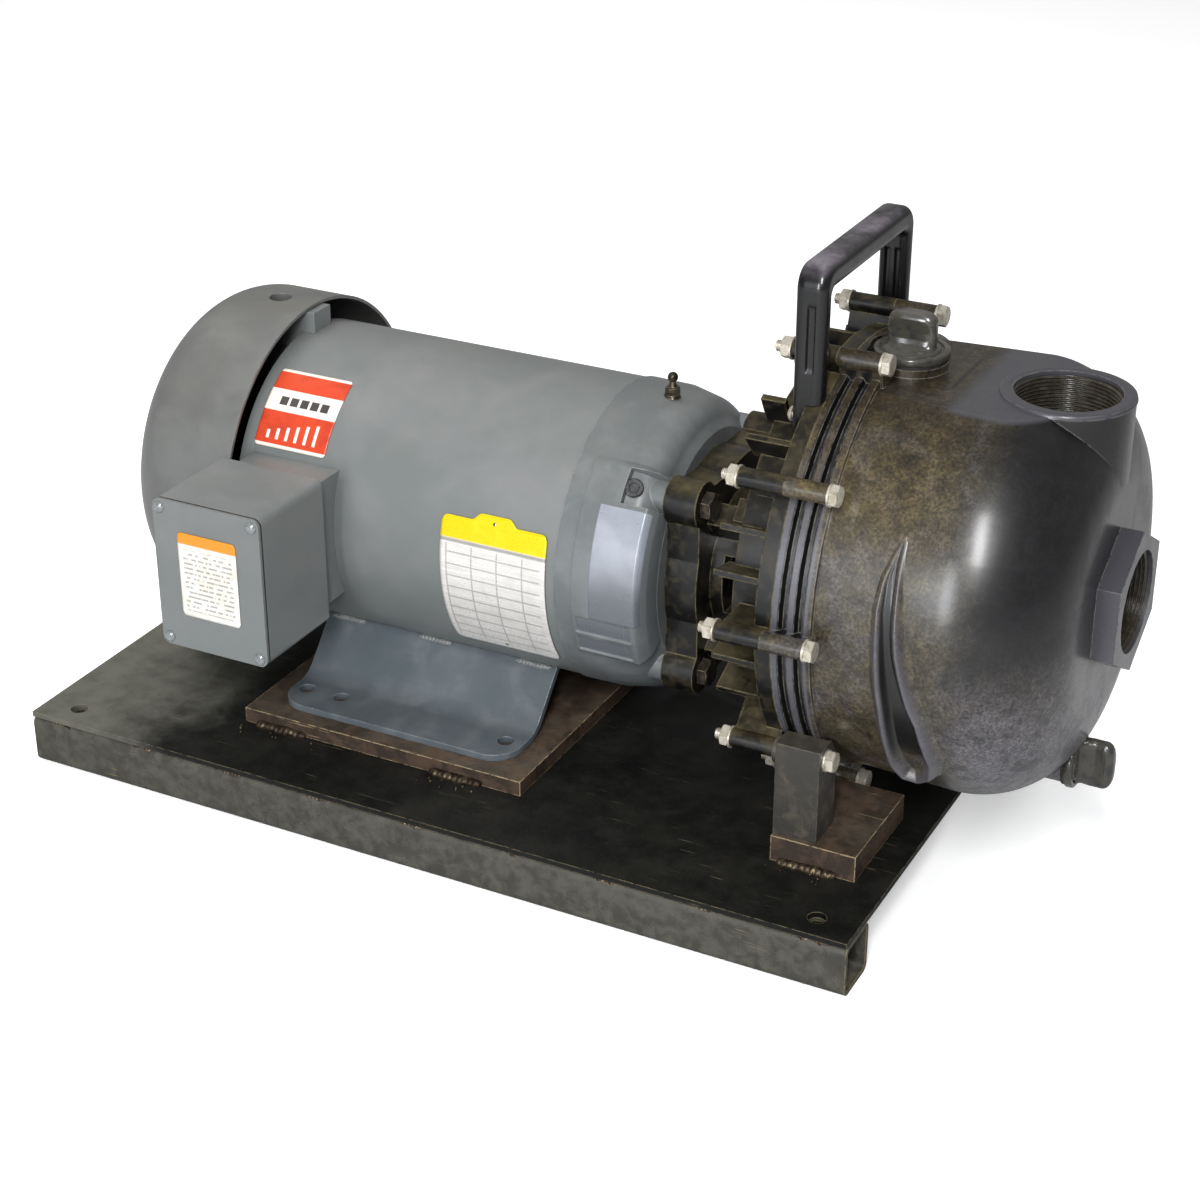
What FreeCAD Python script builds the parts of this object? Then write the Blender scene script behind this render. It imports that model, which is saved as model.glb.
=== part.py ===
import FreeCAD, Part
import math
import os
import re
import Sketcher
from FreeCAD import Placement, Rotation, Vector

# A self-priming chemical transfer pump, close-coupled to an enclosed electric motor.
# Both stand on one welded steel base. +X runs along the shaft towards the pump.
# The conduit box looks towards -Y, and +Z is up. The origin lies on the floor,
# under the shaft and midway along the base.

# Driving dimensions in millimetres, degrees where the name ends in _angle
SIZES = {
    # Steel base
    "base_length": 540,
    "base_width": 355.4,
    "base_plate_thickness": 3.5,
    "rail_size": 31.75,
    "rail_wall": 2.4,
    "rail_corner": 5,
    "base_hole_inset_x": 23.7,
    "base_hole_inset_y": 15.9,
    "base_hole_diameter": 10.5,
    "weld_length": 20,
    "weld_count": 9,
    "weld_leg": 4,
    "riser_start": -146,
    "riser_length": 191.6,
    "riser_width": 254,
    "riser_thickness": 9.5,
    "pad_length": 50.5,
    "pad_width": 73.6,
    "pad_thickness": 16,
    "pad_spread": 96,
    "pad_from_joint": 3.5,
    # Motor foot
    "foot_drop": 110.25,
    "foot_start": -131,
    "foot_length": 161,
    "foot_half_width": 115,
    "foot_thickness": 4,
    "foot_bend_y": 88,
    "foot_bend_radius": 18,
    "foot_bend_angle": 48,
    "foot_corner_radius": 18,
    "foot_hole_y": 95.25,
    "foot_hole_start": -121.3,
    "foot_hole_step": 24.6,
    "foot_hole_span": 139.7,
    "foot_hole_diameter": 10,
    # Motor shell and core
    "shell_front": 50,
    "shell_length": 210,
    "shell_radius": 91,
    "shell_wall": 3,
    "core_from_front": 45,
    "core_from_back": 45,
    "rotor_radius": 45,
    "air_gap": 0.4,
    "winding_depth": 25,
    "winding_inset": 10,
    "winding_width": 24,
    # End bells and bearings
    "bell_length": 55.6,
    "bell_wall": 5,
    "bell_face_thickness": 8,
    "spigot_length": 8,
    "ledge_rise": 1.2,
    "ledge_length": 35,
    "ledge_from_face": 8,
    "ledge_span_angle": 48,
    "pocket_radius": 11,
    "pocket_length": 29.6,
    "face_bolt_circle": 74.6,
    "face_bolt_angle": 45,
    "rabbet_radius": 57.15,
    "rabbet_length": 3.5,
    "front_bearing_radius": 31,
    "front_bearing_width": 16,
    "rear_bearing_radius": 26,
    "rear_bearing_width": 15,
    "bearing_inset": 11.6,
    "hub_wall": 7,
    "rear_plate_thickness": 8,
    "through_bolt_inset": 7.5,
    "through_bolt_diameter": 6,
    "grease_fitting_from_face": 26.3,
    # Fan cover and fan
    "cover_stand": 15,
    "cover_wall": 2,
    "cover_from_shell": 5,
    "cover_length": 87,
    "cover_corner": 42,
    "cover_slot_count": 18,
    "cover_slot_width": 5,
    "cover_slot_inner": 22,
    "cover_slot_outer": 58,
    "cover_screw_inset": 25,
    "cover_cup_radius": 7,
    "cover_cup_depth": 6.5,
    "cover_cup_wall": 1.5,
    "fan_radius": 82,
    "fan_hub_radius": 20,
    "fan_width": 26,
    "fan_blade_count": 8,
    # Conduit box
    "box_overhang": 5,
    "box_length": 73,
    "box_height": 93,
    "box_front": 175,
    "box_depth": 65,
    "box_wall": 2,
    "box_lid_thickness": 2.2,
    "box_gasket_thickness": 1.2,
    "box_corner": 5,
    "box_screw_inset": 5,
    "box_screw_radius": 2,
    "box_neck": 60,
    "box_duct_radius": 20,
    "conduit_diameter": 22.2,
    # Plates on the motor
    "nameplate_start": -25,
    "nameplate_length": 69,
    "nameplate_top_angle": 158,
    "nameplate_span_angle": 60,
    "nameplate_thickness": 0.6,
    "sticker_length": 50,
    "sticker_top_angle": 119,
    "sticker_span_angle": 32,
    "sticker_thickness": 0.2,
    "box_label_width": 40,
    "box_label_height": 53,
    # Bracket between motor and pump
    "bracket_length": 91.9,
    "adapter_thickness": 20,
    "adapter_half_width": 60,
    "lobe_radius": 13.5,
    "face_bolt_diameter": 9.5,
    "face_bolt_head": 15,
    "bracket_hub_radius": 45,
    "bracket_hub_bore": 34,
    "drum_radius": 104,
    "drum_wall": 6,
    "drum_length": 31.5,
    "fin_count": 30,
    "fin_thickness": 3.5,
    "fin_radius": 121,
    "fin_overhang": 5,
    "back_plate_thickness": 7.5,
    "flange_thickness": 9.5,
    "pump_rise": 23,
    # Pump casing
    "ring_radius": 124,
    "ring_length": 22.5,
    "ring_groove_depth": 3,
    "casing_length": 149,
    "casing_radius": 121,
    "casing_swell": 2.5,
    "casing_corner": 60,
    "casing_wall": 6,
    "land_height": 112.5,
    "tie_bolt_circle": 134,
    "tie_bolt_count": 10,
    "tie_bolt_diameter": 6.35,
    "tie_boss_radius": 5.5,
    "tie_boss_back": 26.5,
    "tie_boss_front": 24,
    "tie_head_flats": 11.1,
    "tie_head_height": 4.6,
    "tie_nut_height": 5.2,
    "tie_stub": 4,
    "washer_radius": 6.4,
    "washer_thickness": 1.2,
    "port_radius": 29,
    "port_depth": 26,
    "discharge_from_joint": 113.5,
    "discharge_radius": 36,
    "discharge_rise": 1.5,
    "hex_flats": 73,
    "hex_from_joint": 162.2,
    # Pump legs
    "leg_from_joint": 3,
    "leg_length": 26,
    "leg_front": 118,
    "leg_thickness": 25,
    "leg_top_over_bolt": 9,
    "leg_eye_radius": 8,
    # Handle
    "handle_half_width": 65,
    "handle_leg": 11,
    "handle_top": 361,
    "handle_grip_height": 15,
    "handle_depth": 18,
    "handle_tab_depth": 8.7,
    "handle_tab_drop": 14,
    "handle_corner": 9,
    "handle_round": 5.5,
    "handle_screw_diameter": 5,
    "handle_head_radius": 4.4,
    "handle_head_height": 3.2,
    # Pump inside
    "volute_radius": 82,
    "volute_wall": 5,
    "volute_length": 38.5,
    "impeller_radius": 64,
    "impeller_hub_radius": 16,
    "impeller_plate": 3,
    "impeller_vane_count": 6,
    "impeller_end_gap": 1,
    "impeller_nut_flats": 24,
    "impeller_nut_height": 6,
    "impeller_nut_seat": 8,
    "eye_radius": 27,
    "chamber_rise": 15,
    "chamber_radius": 50,
    "chamber_wall": 4,
    "seal_radius": 22,
    "seal_bore": 12,
    "ring_seal_radius": 119,
    "ring_seal_section": 1.5,
    # Suction check valve
    "valve_radius": 31,
    "valve_seat_radius": 33,
    "valve_seat_length": 9,
    "valve_thickness": 5,
    "valve_hinge_rise": 37,
    "valve_pin_radius": 2,
    "valve_eye_radius": 3.3,
    "valve_eye_width": 14,
    # Shaft
    "shaft_radius": 11.1,
    "shaft_front_radius": 15,
    "shaft_rear_radius": 12.5,
    "shaft_core_radius": 18,
    "shaft_end_gap": 18,
    "slinger_radius": 20,
    # Fill and drain plugs
    "fill_from_joint": 25,
    "fill_collar_radius": 21,
    "fill_collar_thickness": 4.6,
    "fill_stem_radius": 16,
    "fill_stem_length": 12,
    "fill_neck_radius": 20.5,
    "fill_neck_top": 117.2,
    "fill_wing_height": 21,
    "fill_wing_length": 28,
    "fill_wing_thickness": 11,
    "drain_drop": 105,
    "drain_face": 133.5,
    "drain_neck_radius": 15,
    "drain_collar_radius": 17,
    "drain_collar_thickness": 5,
    "drain_stem_radius": 9,
    "drain_stem_length": 12,
    "drain_wing_height": 20,
    "drain_wing_length": 30,
    "drain_wing_thickness": 10,
    "plug_seal_thickness": 1.6,
    # Clearances
    "running_fit": 0.05,
    "close_gap": 0.3,
    "bolt_gap": 0.2,
}

# Lengths worked out from the driving dimensions
WORKED = {
    "deck": "rail_size + base_plate_thickness",
    "riser_top": "deck + riser_thickness",
    "pad_top": "deck + pad_thickness",
    "motor_z": "riser_top + foot_drop",
    "pump_z": "motor_z + pump_rise",
    "half_length": "base_length / 2",
    "half_width": "base_width / 2",
    "rail_y": "half_width - rail_size / 2",
    "base_hole_y": "half_width - base_hole_inset_y",
    "shell_back": "shell_front - shell_length",
    "shell_bore": "shell_radius - shell_wall",
    "winding_radius": "shell_bore - winding_inset",
    "through_bolt_circle": "shell_radius - through_bolt_inset",
    "core_end": "shell_front - core_from_front",
    "core_start": "shell_back + core_from_back",
    "core_length": "core_end - core_start",
    "bell_face": "shell_front + bell_length",
    "front_bearing_end": "bell_face - bearing_inset",
    "front_bearing_start": "front_bearing_end - front_bearing_width",
    "rear_bearing_end": "shell_back - 7",
    "rear_bearing_start": "rear_bearing_end - rear_bearing_width",
    "adapter_end": "bell_face + adapter_thickness",
    "joint": "bell_face + bracket_length",
    "drum_start": "joint - drum_length",
    "ring_end": "joint + ring_length",
    "casing_end": "joint + casing_length",
    "casing_inside": "casing_end - casing_wall",
    "land_z": "pump_z + land_height",
    "discharge_x": "joint + discharge_from_joint",
    "discharge_top": "land_z + discharge_rise",
    "hex_end": "joint + hex_from_joint",
    "volute_end": "joint + volute_length",
    "volute_inside": "volute_end - volute_wall",
    "impeller_back": "joint + 5.5",
    "vane_end": "volute_inside - impeller_end_gap",
    "chamber_z": "motor_z + chamber_rise",
    "valve_z": "pump_z + valve_hinge_rise",
    "seat_start": "casing_inside - valve_seat_length",
    "valve_pin_x": "seat_start",
    "cover_radius": "shell_radius + cover_stand",
    "cover_start": "shell_back - cover_from_shell",
    "cover_end": "cover_start - cover_length",
    "cover_screw_x": "cover_start - cover_screw_inset",
    "box_start": "shell_back - box_overhang",
    "lid_back": "box_front - box_lid_thickness",
    "gasket_back": "lid_back - box_gasket_thickness",
    "box_back": "box_front - box_depth",
    "box_bottom": "motor_z - box_height / 2",
    "fill_x": "joint + fill_from_joint",
    "fill_seat": "pump_z + fill_neck_top",
    "fill_collar": "fill_seat + plug_seal_thickness",
    "drain_z": "pump_z - drain_drop",
    "drain_seat": "joint + drain_face",
    "drain_collar": "drain_seat + plug_seal_thickness",
    "handle_screw_z": "pump_z + drum_radius - 6",
    "handle_foot_z": "handle_screw_z - 8.4",
    "handle_screw_y": "handle_half_width - handle_leg / 2",
    "handle_back": "joint - flange_thickness - handle_tab_depth",
    "leg_start": "joint + leg_from_joint",
    "leg_end": "leg_start + leg_length",
    "leg_inner": "leg_front - leg_thickness",
    "cover_arm_start": "cover_screw_x - 8",
    "cover_cup_floor": "cover_radius - cover_cup_depth",
    "grease_x": "bell_face - grease_fitting_from_face",
    "grease_seat": "motor_z + shell_radius - 1.2",
    "box_x": "box_start + box_length / 2",
    "box_end": "box_start + box_length",
    "box_top": "box_bottom + box_height",
    "box_screw_x": "box_length / 2 - box_screw_inset",
    "box_screw_z": "box_height / 2 - box_screw_inset",
    "rear_face": "shell_back - rear_plate_thickness",
    "shaft_rear_end": "cover_end + shaft_end_gap",
    "foot_reach": "foot_drop / 2",
}

# Tie bolts that hold the two legs, counted from +Y towards +Z
LEG_BOLTS = (6, 9)
# Angles in degrees of the fan cover screws, and of the motor's through bolts
COVER_SCREW_ANGLES = (90, 210, 330)
QUARTERS = (0, 90, 180, 270)
# Angles where the two raised ledges of the front bell start
LEDGE_ANGLES = (148, -16)
ROOT_OF_THREE = "1.7320508"
ALONG_X = Rotation(Vector(0, 1, 0), 90)
ALONG_Y = Rotation(Vector(1, 0, 0), -90)
ALONG_Z = Rotation()

doc = FreeCAD.newDocument("TransferPump")
sheet = doc.addObject("Spreadsheet::Sheet", "Sizes")
for row, (alias, number) in enumerate(SIZES.items(), start=1):
    sheet.set("A%d" % row, alias.replace("_", " "))
    sheet.set("B%d" % row, str(number))
    sheet.setAlias("B%d" % row, alias)
doc.recompute()

kept = []


def spelled(text):
    """Write a formula of size names as an expression on the sheet."""
    def swap(match):
        word = match.group(0)
        if word in SIZES:
            return "Sizes." + word
        if word in WORKED:
            return "(" + spelled(WORKED[word]) + ")"
        return word
    return re.sub(r"[A-Za-z_][A-Za-z_0-9]*", swap, str(text))


def value(text):
    """Return the present value of a formula of size names."""
    result = sheet.evalExpression(spelled(text))
    return float(getattr(result, "Value", result))


def keep(item, label):
    """Name a finished sub-part, which also names its file."""
    item.Label = label
    kept.append(item)
    return item


def put(item, spot, turn=ALONG_Z):
    """Place an object at a spot given as three formulas, with a fixed turn."""
    item.Placement = Placement(Vector(0, 0, 0), turn)
    for axis, text in zip("xyz", spot):
        item.setExpression("Placement.Base." + axis, spelled(text))
    return item


def add(kind, spot, turn, **sizes):
    """Add a Part primitive whose sizes are bound to the sheet."""
    item = doc.addObject("Part::" + kind, kind)
    for name, text in sizes.items():
        item.setExpression(name, spelled(text))
    return put(item, spot, turn)


def block(x0, x1, y0, y1, z0, z1):
    """A box between two corners."""
    return add("Box", (x0, y0, z0), ALONG_Z, Length="(%s) - (%s)" % (x1, x0),
               Width="(%s) - (%s)" % (y1, y0), Height="(%s) - (%s)" % (z1, z0))


def rod(radius, length, spot, turn=ALONG_X):
    """A cylinder that starts at a spot, along X unless it is turned."""
    return add("Cylinder", spot, turn, Radius=radius, Height=length)


def hexagon(flats, length, spot, turn=ALONG_X):
    """A hexagonal prism with a given width across flats."""
    item = add("Prism", spot, turn, Circumradius="(%s) / %s" % (flats, ROOT_OF_THREE), Height=length)
    item.Polygon = 6
    return item


def ring_of(radius, section, spot, turn=ALONG_X):
    """A torus that lies across the given axis."""
    return add("Torus", spot, turn, Radius1=radius, Radius2=section)


def fuse(*items):
    """Join overlapping shapes into one."""
    item = doc.addObject("Part::MultiFuse", "Fuse")
    item.Shapes = list(items)
    item.Refine = True
    return item


def group(*items):
    """Hold separate solids in one sub-part."""
    item = doc.addObject("Part::Compound", "Group")
    item.Links = list(items)
    return item


def cut(base, *tools):
    """Take tools away from a base."""
    item = doc.addObject("Part::Cut", "Cut")
    item.Base = base
    item.Tool = tools[0]
    if len(tools) > 1:
        item.Tool = fuse(*tools)
        item.Tool.Refine = False
    item.Refine = True
    return item


def common(first, second):
    """Keep what two shapes share."""
    item = doc.addObject("Part::Common", "Common")
    item.Base = first
    item.Tool = second
    return item


def around(radius, angle, centre_z):
    """Formulas for y and z at an angle from +Y towards +Z, about an axis along X."""
    return ("(%s) * cos(%s)" % (radius, angle), "%s + (%s) * sin(%s)" % (centre_z, radius, angle))


def spoke(x0, x1, inner, outer, thickness, angle, centre_z):
    """A radial box about an axis along X, at an angle in degrees from +Y towards +Z."""
    half = "(%s) / 2" % thickness
    spot = (x0,
            "(%s) * cos(%s) + %s * sin(%s)" % (inner, angle, half, angle),
            "%s + (%s) * sin(%s) - %s * cos(%s)" % (centre_z, inner, angle, half, angle))
    return add("Box", spot, Rotation(Vector(1, 0, 0), angle), Length="(%s) - (%s)" % (x1, x0),
               Width="(%s) - (%s)" % (outer, inner), Height=thickness)


def outline(sketch, loop):
    """Draw a closed loop in a sketch and tie every corner and arc to the sheet.

    A corner is (x, y), or (x, y, radius) where an arc runs from it to the next corner,
    anticlockwise for a radius and clockwise where the radius is written with a minus.
    """
    corners = [Vector(value(c[0]), value(c[1]), 0) for c in loop]
    starts = []
    ends = []
    arcs = []
    for i, corner in enumerate(loop):
        here = corners[i]
        there = corners[(i + 1) % len(loop)]
        if len(corner) == 2:
            edge = sketch.addGeometry(Part.LineSegment(here, there), False)
            starts.append((edge, 1))
            ends.append((edge, 2))
            continue
        clockwise = corner[2].startswith("-")
        radius = corner[2].lstrip("-")
        size = value(radius)
        span = there - here
        side = Vector(-span.y, span.x, 0).normalize()
        rise = math.sqrt(max(size * size - span.Length ** 2 / 4, 0))
        centre = (here + there) * 0.5 + side * (-rise if clockwise else rise)
        first, last = (there, here) if clockwise else (here, there)
        begin = math.atan2(first.y - centre.y, first.x - centre.x)
        finish = math.atan2(last.y - centre.y, last.x - centre.x)
        circle = Part.Circle(centre, Vector(0, 0, 1), size)
        edge = sketch.addGeometry(Part.ArcOfCircle(circle, begin, finish), False)
        starts.append((edge, 2 if clockwise else 1))
        ends.append((edge, 1 if clockwise else 2))
        arcs.append((edge, radius))
    for i, corner in enumerate(loop):
        sketch.addConstraint(Sketcher.Constraint("Coincident", *ends[i - 1], *starts[i]))
    for i, corner in enumerate(loop):
        for kind, text in (("DistanceX", corner[0]), ("DistanceY", corner[1])):
            rule = Sketcher.Constraint(kind, -1, 1, *starts[i], value(text))
            spot = sketch.addConstraint(rule)
            sketch.setExpression("Constraints[%d]" % spot, spelled(text))
    for edge, radius in arcs:
        spot = sketch.addConstraint(Sketcher.Constraint("Radius", edge, value(radius)))
        sketch.setExpression("Constraints[%d]" % spot, spelled(radius))


def drawn(plane, loops):
    """A new body with a sketch of the given loops on one of its origin planes."""
    body = doc.addObject("PartDesign::Body", "Body")
    sketch = body.newObject("Sketcher::SketchObject", "Sketch")
    base = [item for item in body.Origin.OriginFeatures if item.Role == plane]
    sketch.AttachmentSupport = [(base[0], "")]
    sketch.MapMode = "FlatFace"
    for loop in loops:
        outline(sketch, loop)
    return body, sketch


def turned(loop, spot=("0", "0", "0"), turn=ALONG_Z):
    """A body turned about its own X axis from an outline of (x, radius) corners."""
    body, sketch = drawn("XZ_Plane", [loop])
    feature = body.newObject("PartDesign::Revolution", "Revolution")
    feature.Profile = sketch
    feature.ReferenceAxis = (sketch, ["H_Axis"])
    feature.Angle = 360
    return put(body, spot, turn)


def pushed(loops, length, spot=("0", "0", "0"), plane="YZ_Plane", turn=ALONG_Z):
    """A body padded from outlines, along +X unless another plane is named."""
    body, sketch = drawn(plane, loops)
    feature = body.newObject("PartDesign::Pad", "Pad")
    feature.Profile = sketch
    feature.setExpression("Length", spelled(length))
    return put(body, spot, turn)


def rounded(x0, y0, x1, y1, radius):
    """Corners of a rectangle with round corners, anticlockwise."""
    left, right = "(%s) + %s" % (x0, radius), "(%s) - %s" % (x1, radius)
    low, high = "(%s) + %s" % (y0, radius), "(%s) - %s" % (y1, radius)
    return [(left, y0), (right, y0, radius), (x1, low), (x1, high, radius),
            (right, y1), (left, y1, radius), (x0, high), (x0, low, radius)]


def smooth(body, radius, chosen):
    """Round the edges of a body that a test picks, with a radius from the sheet."""
    doc.recompute()
    tip = body.Tip
    names = []
    for number, edge in enumerate(tip.Shape.Edges, start=1):
        if chosen(edge):
            names.append("Edge%d" % number)
    feature = body.newObject("PartDesign::Fillet", "Fillet")
    feature.Base = (tip, names)
    feature.setExpression("Radius", spelled(radius))
    body.Tip = feature
    return body


def tube(outer, inner, x0, x1, centre_z):
    """A plain tube along X."""
    loop = [(x0, inner), (x1, inner), (x1, outer), (x0, outer)]
    return turned(loop, ("0", "0", centre_z))


def tube_at(outer, inner, length, spot):
    """A short tube along X that starts at a spot."""
    return cut(rod(outer, length, spot), rod(inner, length, spot))


def base():
    """Deck plate, two square rails, their stitch welds, the motor riser and the pump pads."""
    hole = "base_hole_diameter / 2"
    corners = [(sx, sy) for sx in ("-1", "1") for sy in ("-1", "1")]

    def hole_rod(sx, sy, low, high):
        spot = (sx + " * (half_length - base_hole_inset_x)", sy + " * base_hole_y", low)
        return rod(hole, "(%s) - (%s)" % (high, low), spot, ALONG_Z)

    plate = block("-half_length", "half_length", "-half_width", "half_width", "rail_size", "deck")
    holes = [hole_rod(sx, sy, "rail_size - 1", "deck + 1") for sx, sy in corners]
    keep(cut(plate, *holes), "base_plate")

    outer = rounded("-rail_size / 2", "0", "rail_size / 2", "rail_size", "rail_corner")
    inner = rounded("rail_wall - rail_size / 2", "rail_wall", "rail_size / 2 - rail_wall",
                    "rail_size - rail_wall", "(rail_corner - rail_wall)")
    for label, sy in (("front_rail", "-1"), ("back_rail", "1")):
        rail = pushed([outer, inner], "base_length", ("-half_length", sy + " * rail_y", "0"))
        holes = [hole_rod(sx, sy, "-1", "rail_size + 1") for sx in ("-1", "1")]
        keep(cut(rail, *holes), label)

    beads = []
    count = int(value("weld_count"))
    step = "(base_length - 2 * weld_length) / (weld_count - 1)"
    groove = "rail_size - rail_corner"
    for sy in ("-1", "1"):
        face = sy + " * half_width"
        inside = sy + " * (half_width - rail_corner)"
        y0, y1 = (face, inside) if sy == "-1" else (inside, face)
        for i in range(count):
            x0 = "weld_length / 2 - half_length + %d * %s" % (i, step)
            beads.append(block(x0, x0 + " + weld_length", y0, y1, groove, "rail_size"))
    rails = [pushed([outer], "base_length", ("-half_length", sy + " * rail_y", "0"))
             for sy in ("-1", "1")]
    keep(cut(group(*beads), *rails), "base_welds")

    keep(block("riser_start", "riser_start + riser_length", "-riser_width / 2", "riser_width / 2",
               "deck", "riser_top"), "motor_riser")
    pad_x = "joint + pad_from_joint"
    near = "pad_spread / 2"
    keep(block(pad_x, pad_x + " + pad_length", "-%s - pad_width" % near, "-" + near,
               "deck", "pad_top"), "pump_pad_front")
    keep(block(pad_x, pad_x + " + pad_length", near, near + " + pad_width",
               "deck", "pad_top"), "pump_pad_back")

    fillets = []
    places = [("riser_start + 8", "riser_width / 2"), ("riser_start + 130", "riser_width / 2"),
              (pad_x + " + 4", near + " + pad_width")]
    for x0, edge in places:
        for sy in ("-1", "1"):
            quarter = add("Cylinder", (x0, "%s * (%s)" % (sy, edge), "deck"), ALONG_X,
                          Radius="weld_leg", Height="1.8 * weld_length")
            outside = edge + " + weld_leg"
            low, high = ("-(%s)" % outside, "-(%s)" % edge) if sy == "-1" else (edge, outside)
            corner = block(x0, x0 + " + 1.8 * weld_length", low, high, "deck", "deck + weld_leg")
            fillets.append(common(quarter, corner))
    keep(group(*fillets), "seat_welds")


def motor_feet():
    """Two rolled steel feet, each swept up from its flange to the motor shell."""
    inner_radius = "(foot_bend_radius + foot_thickness)"
    bend_z = "riser_top + foot_thickness + foot_bend_radius"
    top = "riser_top + foot_thickness"
    for label, sign in (("motor_foot_front", -1), ("motor_foot_back", 1)):
        def at(radius, along):
            y = "foot_bend_y - %s * sin(foot_bend_angle) - %s * cos(foot_bend_angle)" % (radius, along)
            z = "%s - %s * cos(foot_bend_angle) + %s * sin(foot_bend_angle)" % (bend_z, radius, along)
            return ("%d * (%s)" % (sign, y), z)
        turn_in, turn_out = ("", "-") if sign < 0 else ("-", "")
        edge = "%d * foot_half_width" % sign
        bend = "%d * foot_bend_y" % sign
        loop = [(edge, "riser_top"), (bend, "riser_top", turn_in + inner_radius),
                at(inner_radius, "0"), at(inner_radius, "foot_reach"), at("foot_bend_radius", "foot_reach"),
                at("foot_bend_radius", "0") + (turn_out + "foot_bend_radius",),
                (bend, top), (edge, top)]
        strip = pushed([loop], "foot_length", ("foot_start", "0", "0"))
        far = "%d * (foot_half_width - 100)" % sign
        low, high = (edge, far) if sign < 0 else (far, edge)
        plan = rounded("foot_start", low, "foot_start + foot_length", high, "foot_corner_radius")
        trimmed = common(strip, pushed([plan], "foot_drop", ("0", "0", "riser_top"), "XY_Plane"))
        shell = rod("shell_radius + running_fit", "shell_length", ("shell_back", "0", "motor_z"))
        holes = [rod("foot_hole_diameter / 2", "foot_thickness + 2",
                     ("foot_hole_start + " + x, "%d * foot_hole_y" % sign, "riser_top - 1"), ALONG_Z)
                 for x in ("0", "foot_hole_step", "foot_hole_span")]
        keep(cut(trimmed, shell, *holes), label)


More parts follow.
